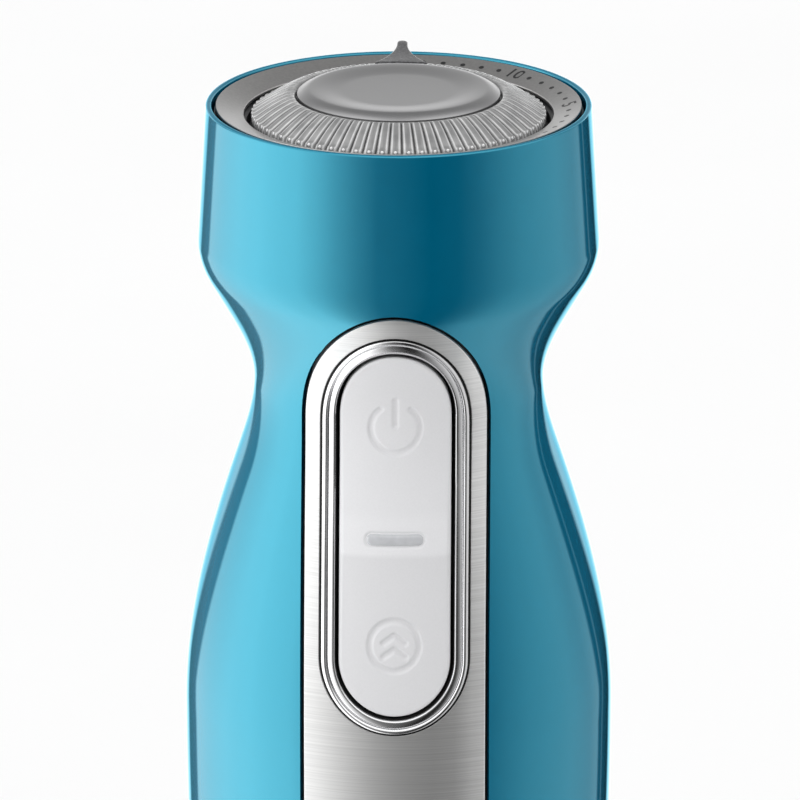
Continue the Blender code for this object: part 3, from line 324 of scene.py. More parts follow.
def body_shading(piece):
    """Give the faces on the handle's surface the exact normals of its curve."""
    reach, least_agreement = 0.06 * MM, 0.97
    mesh = piece.data
    mesh.shade_smooth()
    mesh.set_sharp_from_angle(angle=radians(30))
    mesh.update()
    normals = [Vector(corner.vector) for corner in mesh.corner_normals]
    for face in mesh.polygons:
        x, y, z = face.center
        depth = RIM_Z - z
        on_surface = abs((x**2 + y**2)**0.5 - body_radius(depth)) < reach
        if not on_surface or face.normal.dot(body_normal(x, y, depth)) < least_agreement:
            continue
        for corner in face.loop_indices:
            x, y, z = mesh.vertices[mesh.loops[corner].vertex_index].co
            normals[corner] = body_normal(x, y, RIM_Z - z)
    mesh.normals_split_custom_set(normals)
    return piece


# === outlines on the front ===
def shrink(shape, inset):
    half, top, height = shape
    return half - inset, top + inset, height - inset


def arch_loop(shape, bottom=None, arch_steps=48, side_step=1.5 * MM):
    """(x, depth) points: half-elliptic top, sides, and a round end or a straight one at bottom."""
    half, top, height = shape
    spring = top + height
    arch = [(half * cos(pi * i / arch_steps), spring - height * sin(pi * i / arch_steps))
            for i in range(arch_steps + 1)]
    end = KEY_END_DEPTH if bottom is None else bottom
    count = round((PANEL_BOTTOM - spring if bottom else KEY_END_DEPTH - spring) / side_step)
    side = evenly(spring, end, count)[1:-1]
    left = [(-half, depth) for depth in side]
    right = [(half, depth) for depth in reversed(side)]
    if bottom is not None:
        return arch + left + [(-half, bottom), (half, bottom)] + right
    lower = [(-half * cos(pi * i / arch_steps), end + half * sin(pi * i / arch_steps))
             for i in range(arch_steps + 1)]
    return arch + left + lower + right


def ruled(work, outer, inner, section, closed=False):
    """Sweep a section of (share from outer to inner, offset) along a loop; return its rings."""
    rings = []
    for share, offset in section:
        points = [(x0 + (x1 - x0) * share, d0 + (d1 - d0) * share)
                  for (x0, d0), (x1, d1) in zip(outer, inner)]
        rings.append([(Vector(p), work.verts.new(front_point(*p, offset))) for p in points])
    pairs = list(zip(rings, rings[1:]))
    if closed:
        pairs.append((rings[-1], rings[0]))
    for first, second in pairs:
        for i in range(len(first)):
            work.faces.new((first[i - 1][1], first[i][1], second[i][1], second[i - 1][1]))
    return rings


def inside_distance(point, loop):
    """Distance from a point to a closed loop, negative outside it."""
    best = 1.0
    crossings = 0
    for i in range(len(loop)):
        a, b = loop[i - 1], loop[i]
        edge = b - a
        t = max(0.0, min(1.0, (point - a).dot(edge) / max(edge.length_squared, CDT_GAP**2)))
        best = min(best, (point - a - edge * t).length)
        if (a.y > point.y) != (b.y > point.y):
            if point.x < a.x + (point.y - a.y) / (b.y - a.y) * (b.x - a.x):
                crossings += 1
    return best if crossings % 2 else -best


def fill(work, rings, spacing, place):
    """Fill between an outer ring and any rings inside it with a fine mesh of placed points."""
    loops = [[point for point, _ in ring] for ring in rings]
    places = [point for loop in loops for point in loop]
    verts = [vert for ring in rings for _, vert in ring]
    edges = []
    for loop in loops:
        start = len(edges)
        edges += [(start + i, start + (i + 1) % len(loop)) for i in range(len(loop))]
    low_x, high_x = (pick(p.x for p in loops[0]) for pick in (min, max))
    low_y, high_y = (pick(p.y for p in loops[0]) for pick in (min, max))
    for row in range(1, int((high_y - low_y) / spacing)):
        shift = 0.5 * spacing * (row % 2)
        for column in range(int((high_x - low_x) / spacing) + 1):
            point = Vector((low_x + shift + column * spacing, low_y + row * spacing))
            if inside_distance(point, loops[0]) < 0.5 * spacing:
                continue
            if any(inside_distance(point, hole) > -0.5 * spacing for hole in loops[1:]):
                continue
            places.append(point)
    points, _, faces, origins, _, _ = delaunay_2d_cdt(places, edges, [], 0, CDT_GAP)
    made = []
    for point, origin in zip(points, origins):
        known = [i for i in origin if i < len(verts)]
        made.append(verts[known[0]] if known else work.verts.new(place(point.x, point.y)))
    for face in faces:
        middle = sum((points[i] for i in face), Vector((0, 0))) / len(face)
        if inside_distance(middle, loops[0]) > 0:
            if all(inside_distance(middle, hole) < 0 for hole in loops[1:]):
                work.faces.new([made[i] for i in face])


# === materials ===
class Nodes:
    """Short ways to add maths to a node tree."""

    def __init__(self, tree):
        self.tree = tree

    def add(self, kind, **settings):
        made = self.tree.nodes.new("ShaderNode" + kind)
        for key, value in settings.items():
            setattr(made, key, value)
        return made

    def plug(self, node, index, value):
        """Link a socket to an input, or set the input to a number or vector."""
        if isinstance(value, bpy.types.NodeSocket):
            self.tree.links.new(value, node.inputs[index])
        else:
            node.inputs[index].default_value = value

    def maths(self, operation, *values):
        made = self.add("Math", operation=operation)
        for index, value in enumerate(values):
            self.plug(made, index, value)
        return made.outputs[0]

    def times(self, first, second):
        return self.maths("MULTIPLY", first, second)

    def span(self, value, low, high, soft=True):
        """0 to 1 as the value goes from low to high."""
        kind = "SMOOTHSTEP" if soft else "LINEAR"
        made = self.add("MapRange", interpolation_type=kind)
        self.plug(made, "From Min", low)
        self.plug(made, "From Max", high)
        self.plug(made, "Value", value)
        return made.outputs["Result"]

    def levels(self, value, stops):
        """A level that follows (value, level) stops."""
        low, high = stops[0][0], stops[-1][0]
        most = max(level for _, level in stops)
        made = self.add("ValToRGB")
        elements = made.color_ramp.elements
        while len(elements) < len(stops):
            elements.new(0.5)
        for element, (place, level) in zip(elements, stops):
            element.position = (place - low) / (high - low)
            element.color = (level / most, level / most, level / most, 1.0)
        self.plug(made, "Fac", self.span(value, low, high, soft=False))
        return self.times(made.outputs["Color"], most)

    def blend(self, share, first, second):
        made = self.add("Mix")
        self.plug(made, 0, share)
        self.plug(made, 2, first)
        self.plug(made, 3, second)
        return made.outputs[0]


def material(name, colour, roughness, metallic=0.0, **constants):
    made = bpy.data.materials.new(name)
    made.use_nodes = True
    shader = made.node_tree.nodes["Principled BSDF"]
    shader.inputs["Base Color"].default_value = (*colour, 1.0)
    shader.inputs["Roughness"].default_value = roughness
    shader.inputs["Metallic"].default_value = metallic
    for socket, value in constants.items():
        shader.inputs[socket.replace("_", " ")].default_value = value
    return made


def detail(made, scale, stretch=(1, 1, 1), spread=0.06, rough=0.05, bump=0.0, fine=4.0):
    """Vary colour, roughness and height of a material with one noise, stretched along an axis."""
    n = Nodes(made.node_tree)
    shader = n.tree.nodes["Principled BSDF"]
    mapping = n.add("Mapping")
    n.plug(mapping, "Scale", stretch)
    n.plug(mapping, "Vector", n.add("TexCoord").outputs["Object"])
    texture = n.add("TexNoise")
    n.plug(texture, "Scale", scale)
    n.plug(texture, "Detail", fine)
    n.plug(texture, "Vector", mapping.outputs["Vector"])
    noise = texture.outputs["Fac"]

    colour = shader.inputs["Base Color"].default_value
    tones = n.add("ValToRGB")
    darkest, lightest = tones.color_ramp.elements
    darkest.position, lightest.position = 0.3, 0.7
    for element, share in ((darkest, 1 - spread), (lightest, 1 + spread)):
        element.color = (*(min(1.0, c * share) for c in colour[:3]), 1.0)
    n.plug(tones, "Fac", noise)
    n.plug(shader, "Base Color", tones.outputs["Color"])

    value = shader.inputs["Roughness"].default_value
    ranged = n.add("MapRange")
    n.plug(ranged, "To Min", max(0.0, value - rough))
    n.plug(ranged, "To Max", value + rough)
    n.plug(ranged, "Value", noise)
    n.plug(shader, "Roughness", ranged.outputs["Result"])

    if bump:
        height = n.add("Bump")
        n.plug(height, "Distance", bump)
        n.plug(height, "Height", noise)
        n.plug(shader, "Normal", height.outputs["Normal"])
    return made


def shade_by(made, level):
    """Multiply a material's colour by a level."""
    n = Nodes(made.node_tree)
    shader = n.tree.nodes["Principled BSDF"]
    mix = n.add("Mix", data_type="RGBA", blend_type="MULTIPLY")
    factor, first, second, mixed = 0, 6, 7, 2
    n.plug(mix, factor, 1.0)
    n.plug(mix, first, shader.inputs["Base Color"].links[0].from_socket)
    n.plug(mix, second, level)
    n.plug(shader, "Base Color", mix.outputs[mixed])
    return made


def coordinates(n):
    place = n.add("TexCoord")
    split = n.add("SeparateXYZ")
    n.plug(split, 0, place.outputs["Object"])
    return split.outputs


def gloss_blue():
    """Glossy lacquer whose reflections stay blue, most of all where the surface turns away."""
    begin, full, most = 0.66, 0.86, 0.7
    made = material("gloss_blue_plastic", (0.0, 0.122, 0.222), 0.05, Specular_IOR_Level=1.0, IOR=2.0,
                    Specular_Tint=(0.20, 0.82, 1.0, 1.0))
    detail(made, 260, spread=0.02, rough=0.02, bump=1.5e-6, fine=2.0)
    n = Nodes(made.node_tree)
    weight = n.add("LayerWeight")
    n.plug(weight, "Blend", 0.5)
    edge = n.span(weight.outputs["Facing"], begin, full)
    n.plug(n.tree.nodes["Principled BSDF"], "Metallic", n.times(edge, most))
    return made


def panel_steel():
    """Steel brushed across the panel, lighter towards its right edge as a painted highlight."""
    made = material("panel_steel", (0.66, 0.66, 0.655), 0.38, 0.74)
    detail(made, 900, (0.03, 0.03, 6.0), 0.10, 0.07, 4e-6, 6.0)
    n = Nodes(made.node_tree)
    x, _, _ = coordinates(n)
    # painted highlight: the colour brightens towards the right edge, where a bright reflection falls
    return shade_by(made, n.levels(x, (
        (-15 * MM, 1.0), (6 * MM, 1.0), (9.3 * MM, 1.1), (12 * MM, 1.42), (15 * MM, 1.5))))


def key_white():
    """White plastic, with painted light: lighter on the band round the light bar and painted shade
    above and below it.
    """
    made = material("key_satin_white", (0.77, 0.77, 0.785), 0.42)
    detail(made, 3500, spread=0.015, bump=3e-6)
    n = Nodes(made.node_tree)
    _, _, z = coordinates(n)
    low, high, soft, end = PIVOT_Z - SADDLE_HALF, PIVOT_Z + SADDLE_HALF, 0.7 * MM, 24 * MM
    # painted light: the band round the light bar is lighter and the key above and below it darker,
    # standing in for how light falls on the raised band
    return shade_by(made, n.levels(z, (
        (PIVOT_Z - end, 0.92), (low - soft, 0.91), (low, 1.0), (high, 1.0),
        (high + 3 * soft, 0.965), (PIVOT_Z + end, 0.975))))


def knob_plastic():
    """Clear plastic over a dark tray, with painted shade in the grooves, on the crests and round the
    cap, and painted highlights on the rib flanks.
    """
    made = material("knob_plastic", (0.95, 0.955, 0.96), 0.08, 0.1, Transmission_Weight=0.2,
                    IOR=1.55)
    detail(made, 380, spread=0.28, rough=0.03, bump=1e-6)
    n = Nodes(made.node_tree)
    x, y, _ = coordinates(n)
    radius = n.maths("SQRT", n.maths("ADD", n.times(x, x), n.times(y, y)))
    turns = n.times(n.maths("ARCTAN2", y, x), RIBS / (2 * pi))
    away = n.maths("ABSOLUTE", n.maths("SUBTRACT", n.maths("FRACT", turns), 0.5))
    # painted light across each rib: painted highlights on the flanks, painted shade on the crests and
    # in the grooves
    across = n.levels(n.times(away, 2.0), (
        (0, 0.40), (0.4, 0.44), (0.58, 1.0), (0.70, 0.64), (0.84, 0.26), (1, 0.21)))
    # painted shade in the groove round the cap
    along = n.levels(radius, (
        (15 * MM, 0.35), (16.1 * MM, 0.35), (16.7 * MM, 1.0), (DIAL_RADIUS, 1.0)))
    ribs = n.span(radius, RIB_START, RIB_START + 0.6 * MM)
    shoulder = 0.75
    return shade_by(made, n.times(along, n.blend(ribs, shoulder, across)))


LOOKS = {
    "gloss_blue": gloss_blue(),
    "brushed_steel": panel_steel(),
    "chrome": detail(material("chrome_plate", (0.78, 0.78, 0.79), 0.20, 1.0), 700, spread=0.02,
                     rough=0.02, bump=4e-7),
    "satin_white": key_white(),
    "black_rubber": detail(material("rubber", (0.012, 0.012, 0.013), 0.62), 2500, bump=8e-6),
    "black_plastic": detail(material("black_plastic", (0.02, 0.02, 0.022), 0.42), 3000, bump=6e-6),
    "grey_plastic": detail(material("grey_plastic", (0.13, 0.135, 0.14), 0.38), 2600, bump=6e-6),
    "clear_plastic": detail(material("clear_plastic", (0.56, 0.565, 0.57), 0.08, 0.22, IOR=1.55,
                                     Transmission_Weight=0.5), 900, spread=0.05, rough=0.03, bump=1e-6),
    "satin_silver": detail(material("dial_silver", (0.41, 0.41, 0.415), 0.30, 1.0), 5200, spread=0.03,
                           rough=0.03, bump=8e-7),
    "steel": detail(material("tube_steel", (0.62, 0.615, 0.60), 0.20, 1.0), 900, (4.0, 4.0, 0.05), 0.06,
                    0.05, 1e-6, 5.0),
    "lamination": detail(material("lamination", (0.22, 0.22, 0.23), 0.5, 0.9), 400, (0.05, 0.05, 6),
                         0.3),
    "copper": detail(material("copper", (0.72, 0.30, 0.14), 0.3, 1.0), 500, (0.1, 0.1, 5), 0.2),
    "brass": detail(material("brass", (0.72, 0.54, 0.24), 0.3, 1.0), 900, spread=0.1),
    "bronze": detail(material("bronze", (0.5, 0.34, 0.18), 0.45, 1.0), 2500, spread=0.2, bump=6e-6),
    "carbon": detail(material("carbon", (0.035, 0.035, 0.04), 0.55), 1800, spread=0.2),
    "cast_alloy": detail(material("cast_alloy", (0.5, 0.5, 0.51), 0.5, 1.0), 1500, bump=1e-5),
    "board_green": detail(material("board", (0.02, 0.16, 0.07), 0.35), 600, spread=0.15),
    "capacitor_yellow": detail(material("capacitor", (0.72, 0.52, 0.07), 0.3), 900, spread=0.05),
}
RING_STEEL = detail(material("ring_steel", (0.46, 0.455, 0.45), 0.30, 1.0), 2200, (1, 1, 1), 0.08,
                    0.05, 1e-6, 3.0)
BAR_PLASTIC = detail(material("light_bar_plastic", (0.53, 0.54, 0.56), 0.16, Coat_Weight=0.6), 900)
KNOB_PLASTIC = knob_plastic()
POINTER_PLASTIC = detail(material("pointer_plastic", (0.06, 0.06, 0.064), 0.16,
                                  Specular_IOR_Level=0.35), 1800, spread=0.6)
# near-white beads: a painted highlight at each rib end
BEAD_HIGHLIGHT_WHITE = detail(material("rib_end_plastic", (0.96, 0.96, 0.97), 0.12), 2000)
# near-black strips that stand in for the shade in the gaps round the bezel
GAP_SHADE_BLACK = detail(material("gap_liner", (0.004, 0.004, 0.004), 0.8), 3000)
INK = detail(material("scale_ink", (0.01, 0.01, 0.011), 0.4), 4000, spread=0.2)


def dress_cad_nodes():
    """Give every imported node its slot's material."""
    for part in frame["record"]["subparts"]:
        materials = NODES[part["node"]].data.materials
        materials.clear()
        materials.append(LOOKS[part["material_slot"]])


# === housing ===
def housing_half(side):
    """One moulded half shell: its outside, the rim's lip and the ledge of the dial tray."""
    corner = body_radius(0) - LIP_ROUND
    inner = body_radius(0) - LIP_WIDTH + LIP_ROUND
    level = RIM_Z - LIP_ROUND
    lip = [(inner - LIP_ROUND * cos(a), level + LIP_ROUND * sin(a))
           for a in map(radians, (0, 20, 45, 70, 90))]
    lip += [(corner + LIP_ROUND * sin(a), level + LIP_ROUND * cos(a))
            for a in map(radians, (15, 35, 55, 75, 90))]
    rings = evenly(2 * LIP_ROUND, HANDLE_LENGTH - END_CHAMFER, round(HANDLE_LENGTH / RING_STEP))
    outside = [(body_radius(d), RIM_Z - d) for d in rings]
    bottom = [(body_radius(HANDLE_LENGTH) - END_CHAMFER, RIM_Z - HANDLE_LENGTH),
              (body_radius(HANDLE_LENGTH) - WALL, RIM_Z - HANDLE_LENGTH)]
    ledge_top, ledge_end = LEDGE_DEPTHS
    inside = [(body_radius(d) - WALL, RIM_Z - d) for d in reversed(rings[::4]) if d > ledge_end + MM]
    ledge = [(LEDGE_RADIUS, RIM_Z - ledge_end), (LEDGE_RADIUS, RIM_Z - ledge_top),
             (body_radius(0) - LIP_WIDTH, RIM_Z - ledge_top)]
    shell = lathe(lip + outside + bottom + inside + ledge)
    low, high = sorted((side * SEAM_HALF, side * FAR))
    return combine(shell, "INTERSECT", box((-FAR, low, 0), (FAR, high, RIM_Z + FAR)))


def front_cutter(loop):
    return prism([(x, RIM_Z - depth) for x, depth in loop], -FAR, FRONT_CUT_END)


def recess_cutter():
    """The bed that the steel panel lies in."""
    top, bottom, proud = 22 * MM, HANDLE_LENGTH + 2 * MM, 5 * MM
    depths = evenly(top, bottom, round((bottom - top) / RING_STEP))
    layer = lathe([(body_radius(d) + proud, RIM_Z - d) for d in depths]
                  + [(body_radius(d) - RECESS, RIM_Z - d) for d in reversed(depths)])
    return combine(layer, "INTERSECT", front_cutter(arch_loop(CUTOUT, HANDLE_LENGTH + FAR)))


def housing():
    front = combine(housing_half(-1), "DIFFERENCE", recess_cutter(), front_cutter(arch_loop(WINDOW)))
    show(body_shading(front), "front_housing_fine", "handle", "gloss_blue", "front_housing")
    low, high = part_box("cord_gland")
    middle = (low + high) / 2
    hole_radius, hole_start = mm(5.0, 20)
    hole = rod(hole_radius, hole_start, FAR,
               turn=Matrix.Translation((0, 0, middle.z)) @ Matrix.Rotation(-pi / 2, 4, "X"))
    rear = combine(housing_half(1), "DIFFERENCE", hole)
    show(body_shading(rear), "rear_housing_fine", "handle", "gloss_blue", "rear_housing")


def cord_gland():
    """Rubber bush in the rear shell, with rounded flanges."""
    low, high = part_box("cord_gland")
    bore, neck, thickness = mm(3.3, 4.7, 1.0)
    flange = (high.x - low.x) / 2
    shell_out, shell_in = high.y - thickness, low.y + thickness
    inner_flange = flange - thickness
    profile = [(bore, high.y), (flange - 0.8 * MM, high.y), (flange, shell_out + 0.2 * MM),
               (flange, shell_out), (neck, shell_out), (neck, shell_in), (inner_flange, shell_in),
               (inner_flange, low.y), (bore, low.y)]
    piece = lathe(soften(profile, 0.35 * MM), 96)
    piece.data.transform(Matrix.Translation((0, 0, (low.z + high.z) / 2))
                         @ Matrix.Rotation(-pi / 2, 4, "X"))
    show(smooth(piece), "cord_gland_fine", "handle", "black_rubber", "cord_gland")


# === front panel and key ===
def front_panel():
    """Brushed steel strip with softened edges and a window for the bezel."""
    edge, back, grid = mm(0.16, -0.8, 1.6)
    work = bmesh.new()
    section = [(1, back), (0, -0.72 * MM), (0, -0.14 * MM), (0.3, -0.04 * MM), (1, 0)]
    rim = arch_loop(PANEL, PANEL_BOTTOM)
    outer = ruled(work, rim, arch_loop(shrink(PANEL, edge), PANEL_BOTTOM - edge), section)
    inner = ruled(work, arch_loop(WINDOW), arch_loop(shrink(WINDOW, -edge)), section)
    fill(work, (outer[-1], inner[-1]), grid, over_front(0))
    fill(work, (outer[0], inner[0]), BACK_GRID, over_front(back))
    piece = body_shading(object_from(work, "panel"))
    show(piece, "front_panel_fine", "handle", "brushed_steel", "front_panel")


def button_bezel():
    """Chrome surround: a round outer tube, a groove and a flat inner step."""
    tube = [(0.2 - 0.2 * cos(pi * i / 12), (0.08 + 0.46 * sin(pi * i / 12)) * MM) for i in range(13)]
    step = [(0.44, 0.16 * MM), (0.60, 0.24 * MM), (0.78, 0.29 * MM), (0.90, 0.26 * MM),
            (0.97, 0.12 * MM)]
    back = -2.5 * MM
    section = [(0, back), *tube, *step, (1.0, -0.25 * MM), (1.0, back)]
    work = bmesh.new()
    ruled(work, arch_loop(BEZEL), arch_loop(BEZEL_INSIDE), section, closed=True)
    show(smooth(object_from(work, "bezel"), 50), "button_bezel_fine", "handle", "chrome",
         "button_bezel")


def shade_strip(name, outer, inner, top, bottom):
    """A black strip between two outlines, put in as painted shade that keeps the gap beside the bezel
    dark.
    """
    work = bmesh.new()
    ruled(work, arch_loop(outer), arch_loop(inner), [(0, top), (1, top), (1, bottom), (0, bottom)],
          closed=True)
    show(smooth(object_from(work, name), 50), name, "handle", "black_plastic", look=GAP_SHADE_BLACK)


def pressed(distance):
    """Depth of a pressed line at a distance from its middle."""
    t = max(0.0, min(1.0, (distance - 0.5 * SYMBOL_LINE) / (0.8 * SYMBOL_LINE)))
    return SYMBOL_PRESS * (1 - t * t * (3 - 2 * t))


def segment_distance(x, y, x0, y0, x1, y1):
    length = (x1 - x0)**2 + (y1 - y0)**2
    t = max(0.0, min(1.0, ((x - x0) * (x1 - x0) + (y - y0) * (y1 - y0)) / length))
    return sqrt((x - x0 - t * (x1 - x0))**2 + (y - y0 - t * (y1 - y0))**2)


def power_symbol(x, up):
    """Distance to an open ring with a bar in its gap."""
    opening, bar_low, bar_high = radians(38), 0.4 * MM, 4.6 * MM
    angle = abs(atan2(x, up))
    if angle >= opening:
        ring = abs(sqrt(x**2 + up**2) - SYMBOL_RADIUS)
    else:
        end_x, end_up = SYMBOL_RADIUS * sin(opening), SYMBOL_RADIUS * cos(opening)
        ring = sqrt((abs(x) - end_x)**2 + (up - end_up)**2)
    return min(ring, segment_distance(x, up, 0, bar_low, 0, bar_high))


def boost_symbol(x, up):
    """Distance to a ring with a double chevron that points up."""
    ring = abs(sqrt(x**2 + up**2) - SYMBOL_RADIUS)
    half, rise, feet = 1.7 * MM, 1.2 * MM, (-1.7 * MM, 0.4 * MM)
    chevrons = [segment_distance(abs(x), up, 0, low + rise, half, low) for low in feet]
    return min(ring, *chevrons)


def key_height(x, depth):
    """Height of the key's face over the handle's curve."""
    press = max(pressed(power_symbol(x, POWER_DEPTH - depth)),
                pressed(boost_symbol(x, TURBO_DEPTH - depth)))
    away = max(0.0, abs(depth - PIVOT_DEPTH) - SADDLE_HALF)
    saddle = SADDLE_HEIGHT * exp(-away / SADDLE_FALL)
    half_length, half_height = LIGHT_BAR_HALF
    straight = half_length - half_height
    bar = segment_distance(x, depth, -straight, PIVOT_DEPTH, straight, PIVOT_DEPTH) - half_height
    groove = GROOVE_DEPTH * max(0.0, 1 - abs(bar) / GROOVE_WIDTH)
    return KEY_TOP + saddle - press - groove


def key_point(x, depth):
    return front_point(x, depth, key_height(x, depth))


def rocker_button():
    """The key with its rounded edge and pressed symbols, and the boss on its pivot."""
    steps = 6
    edge = [(1 - cos(pi / 2 * i / steps), KEY_TOP - KEY_EDGE + KEY_EDGE * sin(pi / 2 * i / steps))
            for i in range(steps)]
    work = bmesh.new()
    outer = arch_loop(KEY, side_step=KEY_SIDE_STEP)
    inner = arch_loop(shrink(KEY, KEY_EDGE), side_step=KEY_SIDE_STEP)
    rings = ruled(work, outer, inner, [(1, KEY_BOTTOM), (0, KEY_BOTTOM), *edge])
    last = [(Vector(p), work.verts.new(key_point(*p))) for p in inner]
    for i in range(len(last)):
        work.faces.new((rings[-1][i - 1][1], rings[-1][i][1], last[i][1], last[i - 1][1]))
    fill(work, (last,), KEY_GRID, key_point)
    fill(work, (rings[0],), BACK_GRID, over_front(KEY_BOTTOM))
    piece = smooth(object_from(work, "key"), 60)
    show(piece, "rocker_button_fine", "rocker", "satin_white", "rocker_button")

    half_width, half_height, bore = mm(2.5, 2.1, 1.15)
    front, back = mm(-22.7, -18.4)
    turn = Matrix.Translation((0, PIVOT_Y, PIVOT_Z)) @ Matrix.Rotation(pi / 2, 4, "Y")
    boss = box((-half_width, front, PIVOT_Z - half_height), (half_width, back, PIVOT_Z + half_height))
    boss = combine(boss, "DIFFERENCE", rod(bore, -FAR, FAR, 32, turn))
    show(smooth(rounded(boss, 0.2 * MM)), "rocker_boss", "rocker", "satin_white")


def light_bar():
    """Milky light guide set in the key, with a rounded face."""
    half_length, half_height = LIGHT_BAR_HALF
    steps = 12

    def loop(inset):
        radius = half_height - inset
        straight = half_length - half_height
        right = [(straight * (2 * i / steps - 1), PIVOT_DEPTH - radius) for i in range(1, steps)]
        right += [(straight + radius * sin(pi * i / steps),
                   PIVOT_DEPTH - radius * cos(pi * i / steps)) for i in range(steps + 1)]
        return right + [(-x, 2 * PIVOT_DEPTH - depth) for x, depth in right]

    top = KEY_TOP + SADDLE_HEIGHT - 0.02 * MM
    section = [(0, top - 0.9 * MM), (0, top - 0.10 * MM), (0.3, top + 0.06 * MM),
               (0.65, top + 0.14 * MM), (1, top + 0.17 * MM)]
    work = bmesh.new()
    rings = ruled(work, loop(0.12 * MM), loop(0.5 * MM), section)
    fill(work, (rings[-1],), 0.3 * MM, over_front(section[-1][1]))
    fill(work, (rings[0],), 0.6 * MM, over_front(section[0][1]))
    show(smooth(object_from(work, "bar"), 50), "light_bar_fine", "rocker", "clear_plastic",
         "light_bar", look=BAR_PLASTIC)


# === dial ===
def ring_height(radius):
    """Height of the steel ring's sloping face at a radius."""
    outer, inner = RING_RADII
    share = (outer - radius) / (outer - inner)
    return RIM_Z - RING_DEPTHS[0] - (RING_DEPTHS[1] - RING_DEPTHS[0]) * share


def scale_ring():
    outer, inner = RING_RADII
    profile = [(outer, ring_height(outer)), (outer, ring_height(outer) - RING_THICKNESS),
               (inner, ring_height(inner) - RING_THICKNESS), (inner, ring_height(inner))]
    piece = smooth(lathe(soften(profile, 0.18 * MM), FINE_SIDES))
    show(piece, "scale_ring_fine", "handle", "brushed_steel", "scale_ring", look=RING_STEEL)


def ring_mark(mesh_object, angle):
    """Lay a flat mark, drawn about the origin, on the ring at an angle clockwise from the back."""
    outer, inner = RING_RADII
    slope = atan2(RING_DEPTHS[1] - RING_DEPTHS[0], outer - inner)
    place = (Matrix.Rotation(-angle, 4, "Z")
             @ Matrix.Translation((0, SCALE_RADIUS, ring_height(SCALE_RADIUS)))
             @ Matrix.Rotation(slope, 4, "X"))
    mesh_object.data.transform(place)
    return mesh_object


def number(text):
    curve = bpy.data.curves.new("number", "FONT")
    curve.body = text
    curve.size = NUMBER_SIZE
    curve.align_x = curve.align_y = "CENTER"
    curve.extrude = INK_HALF
    curve.offset = 0.05 * MM        # makes the strokes bolder
    curve.resolution_u = 4
    return bake(add_object("number", curve))


def scale_marks():
    """Printed numbers and dots on the steel ring, clockwise from the highest speed at the back."""
    marks = []
    for step in range(SCALE_MARKS):
        text = SCALE_NUMBERS.get(step)
        mark = number(text) if text else rod(DOT_RADIUS, -INK_HALF, INK_HALF, 20)
        marks.append(ring_mark(mark, step * SCALE_STEP))
    work = bmesh.new()
    for mark in marks:
        work.from_mesh(mark.data)
        bpy.data.objects.remove(mark)
    show(smooth(object_from(work, "marks")), "scale_marks", "handle", "black_plastic", look=INK)


def dial_tray():
    low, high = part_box("dial_tray")
    outer, neck, inside, bore = high.x, LEDGE_RADIUS - 0.3 * MM, 23.5 * MM, 4.3 * MM
    rest, floor_top, step_top = RIM_Z - 4.7 * MM, RIM_Z - 4.4 * MM, RIM_Z - 2.75 * MM
    profile = [(outer, high.z), (outer, rest), (neck, rest), (neck, low.z), (bore, low.z),
               (bore, floor_top), (inside, floor_top), (inside, step_top)]
    piece = smooth(lathe(soften(profile, 0.15 * MM), FINE_SIDES))
    show(piece, "dial_tray_fine", "handle", "black_plastic", "dial_tray")


def rib_wave(angle):
    """0 in the groove between two ribs, 1 on a rib's crest."""
    phase = RIBS * angle / (2 * pi)
    t = 2 * abs(phase - floor(phase) - 0.5)
    return sqrt(max(0.0, 1 - t**2.4))


def speed_dial():
    """Clear knob: ribbed conical skirt, groove round the cap, and a hub for the shaft."""
    rows = 26
    rise_share, fall_share = 0.12, 0.05
    slope = Vector((DIAL_RADIUS - SHOULDER_RADIUS, -(SHOULDER_HEIGHT + DIAL_EDGE_DEPTH)))
    out = Vector((-slope.y, slope.x)).normalized()
    start = Vector((RIB_START, RIM_Z + SHOULDER_HEIGHT - RIB_HEIGHT))
    seat = RIM_Z + CAP_BOTTOM - 0.3 * MM
    well = CAP_RADIUS + 0.15 * MM
    groove = [(0, seat), (well, seat), (well, seat + 0.5 * MM)]
    skirt = [(start.x + (DIAL_RADIUS - start.x) * i / rows, start.y + slope.y * (i / rows)**RIB_FALL)
             for i in range(rows + 1)]
    hub, bore, hollow, foot = 5 * MM, 3.3 * MM, RIM_Z - 1.2 * MM, RIM_Z - 3.6 * MM
    hub_end, bore_end = RIM_Z - 4.0 * MM, RIM_Z - 0.4 * MM
    edge = [(DIAL_RADIUS + 0.05 * MM, RIM_Z - DIAL_EDGE_DEPTH - 0.5 * MM),
            (DIAL_RADIUS - 0.05 * MM, foot + 0.2 * MM), (DIAL_RADIUS - 0.3 * MM, foot),
            (DIAL_RADIUS - 1.6 * MM, foot), (DIAL_RADIUS - 5.5 * MM, hollow), (hub, hollow),
            (hub, hub_end), (bore, hub_end), (bore, bore_end), (0, bore_end)]

    def shape(index, radius, z, angle):
        row = index - len(groove)
        if not 0 <= row <= rows:
            return radius, z
        share = row / rows
        rise = min(1.0, share / rise_share) * min(1.0, (1 - share) / fall_share)
        bead = BEAD_HEIGHT * exp(-((share - BEAD_PLACE) / BEAD_SPREAD)**2) * rib_wave(angle)**2
        height = RIB_HEIGHT * rise * rib_wave(angle) + bead
        return radius + out.x * height, z + out.y * height

    knob = smooth(lathe(groove + skirt + edge, RIBS * RIB_SAMPLES, closed=False, shape=shape), 60)
    show(knob, "speed_dial_fine", "dial", "clear_plastic", "speed_dial", look=KNOB_PLASTIC)


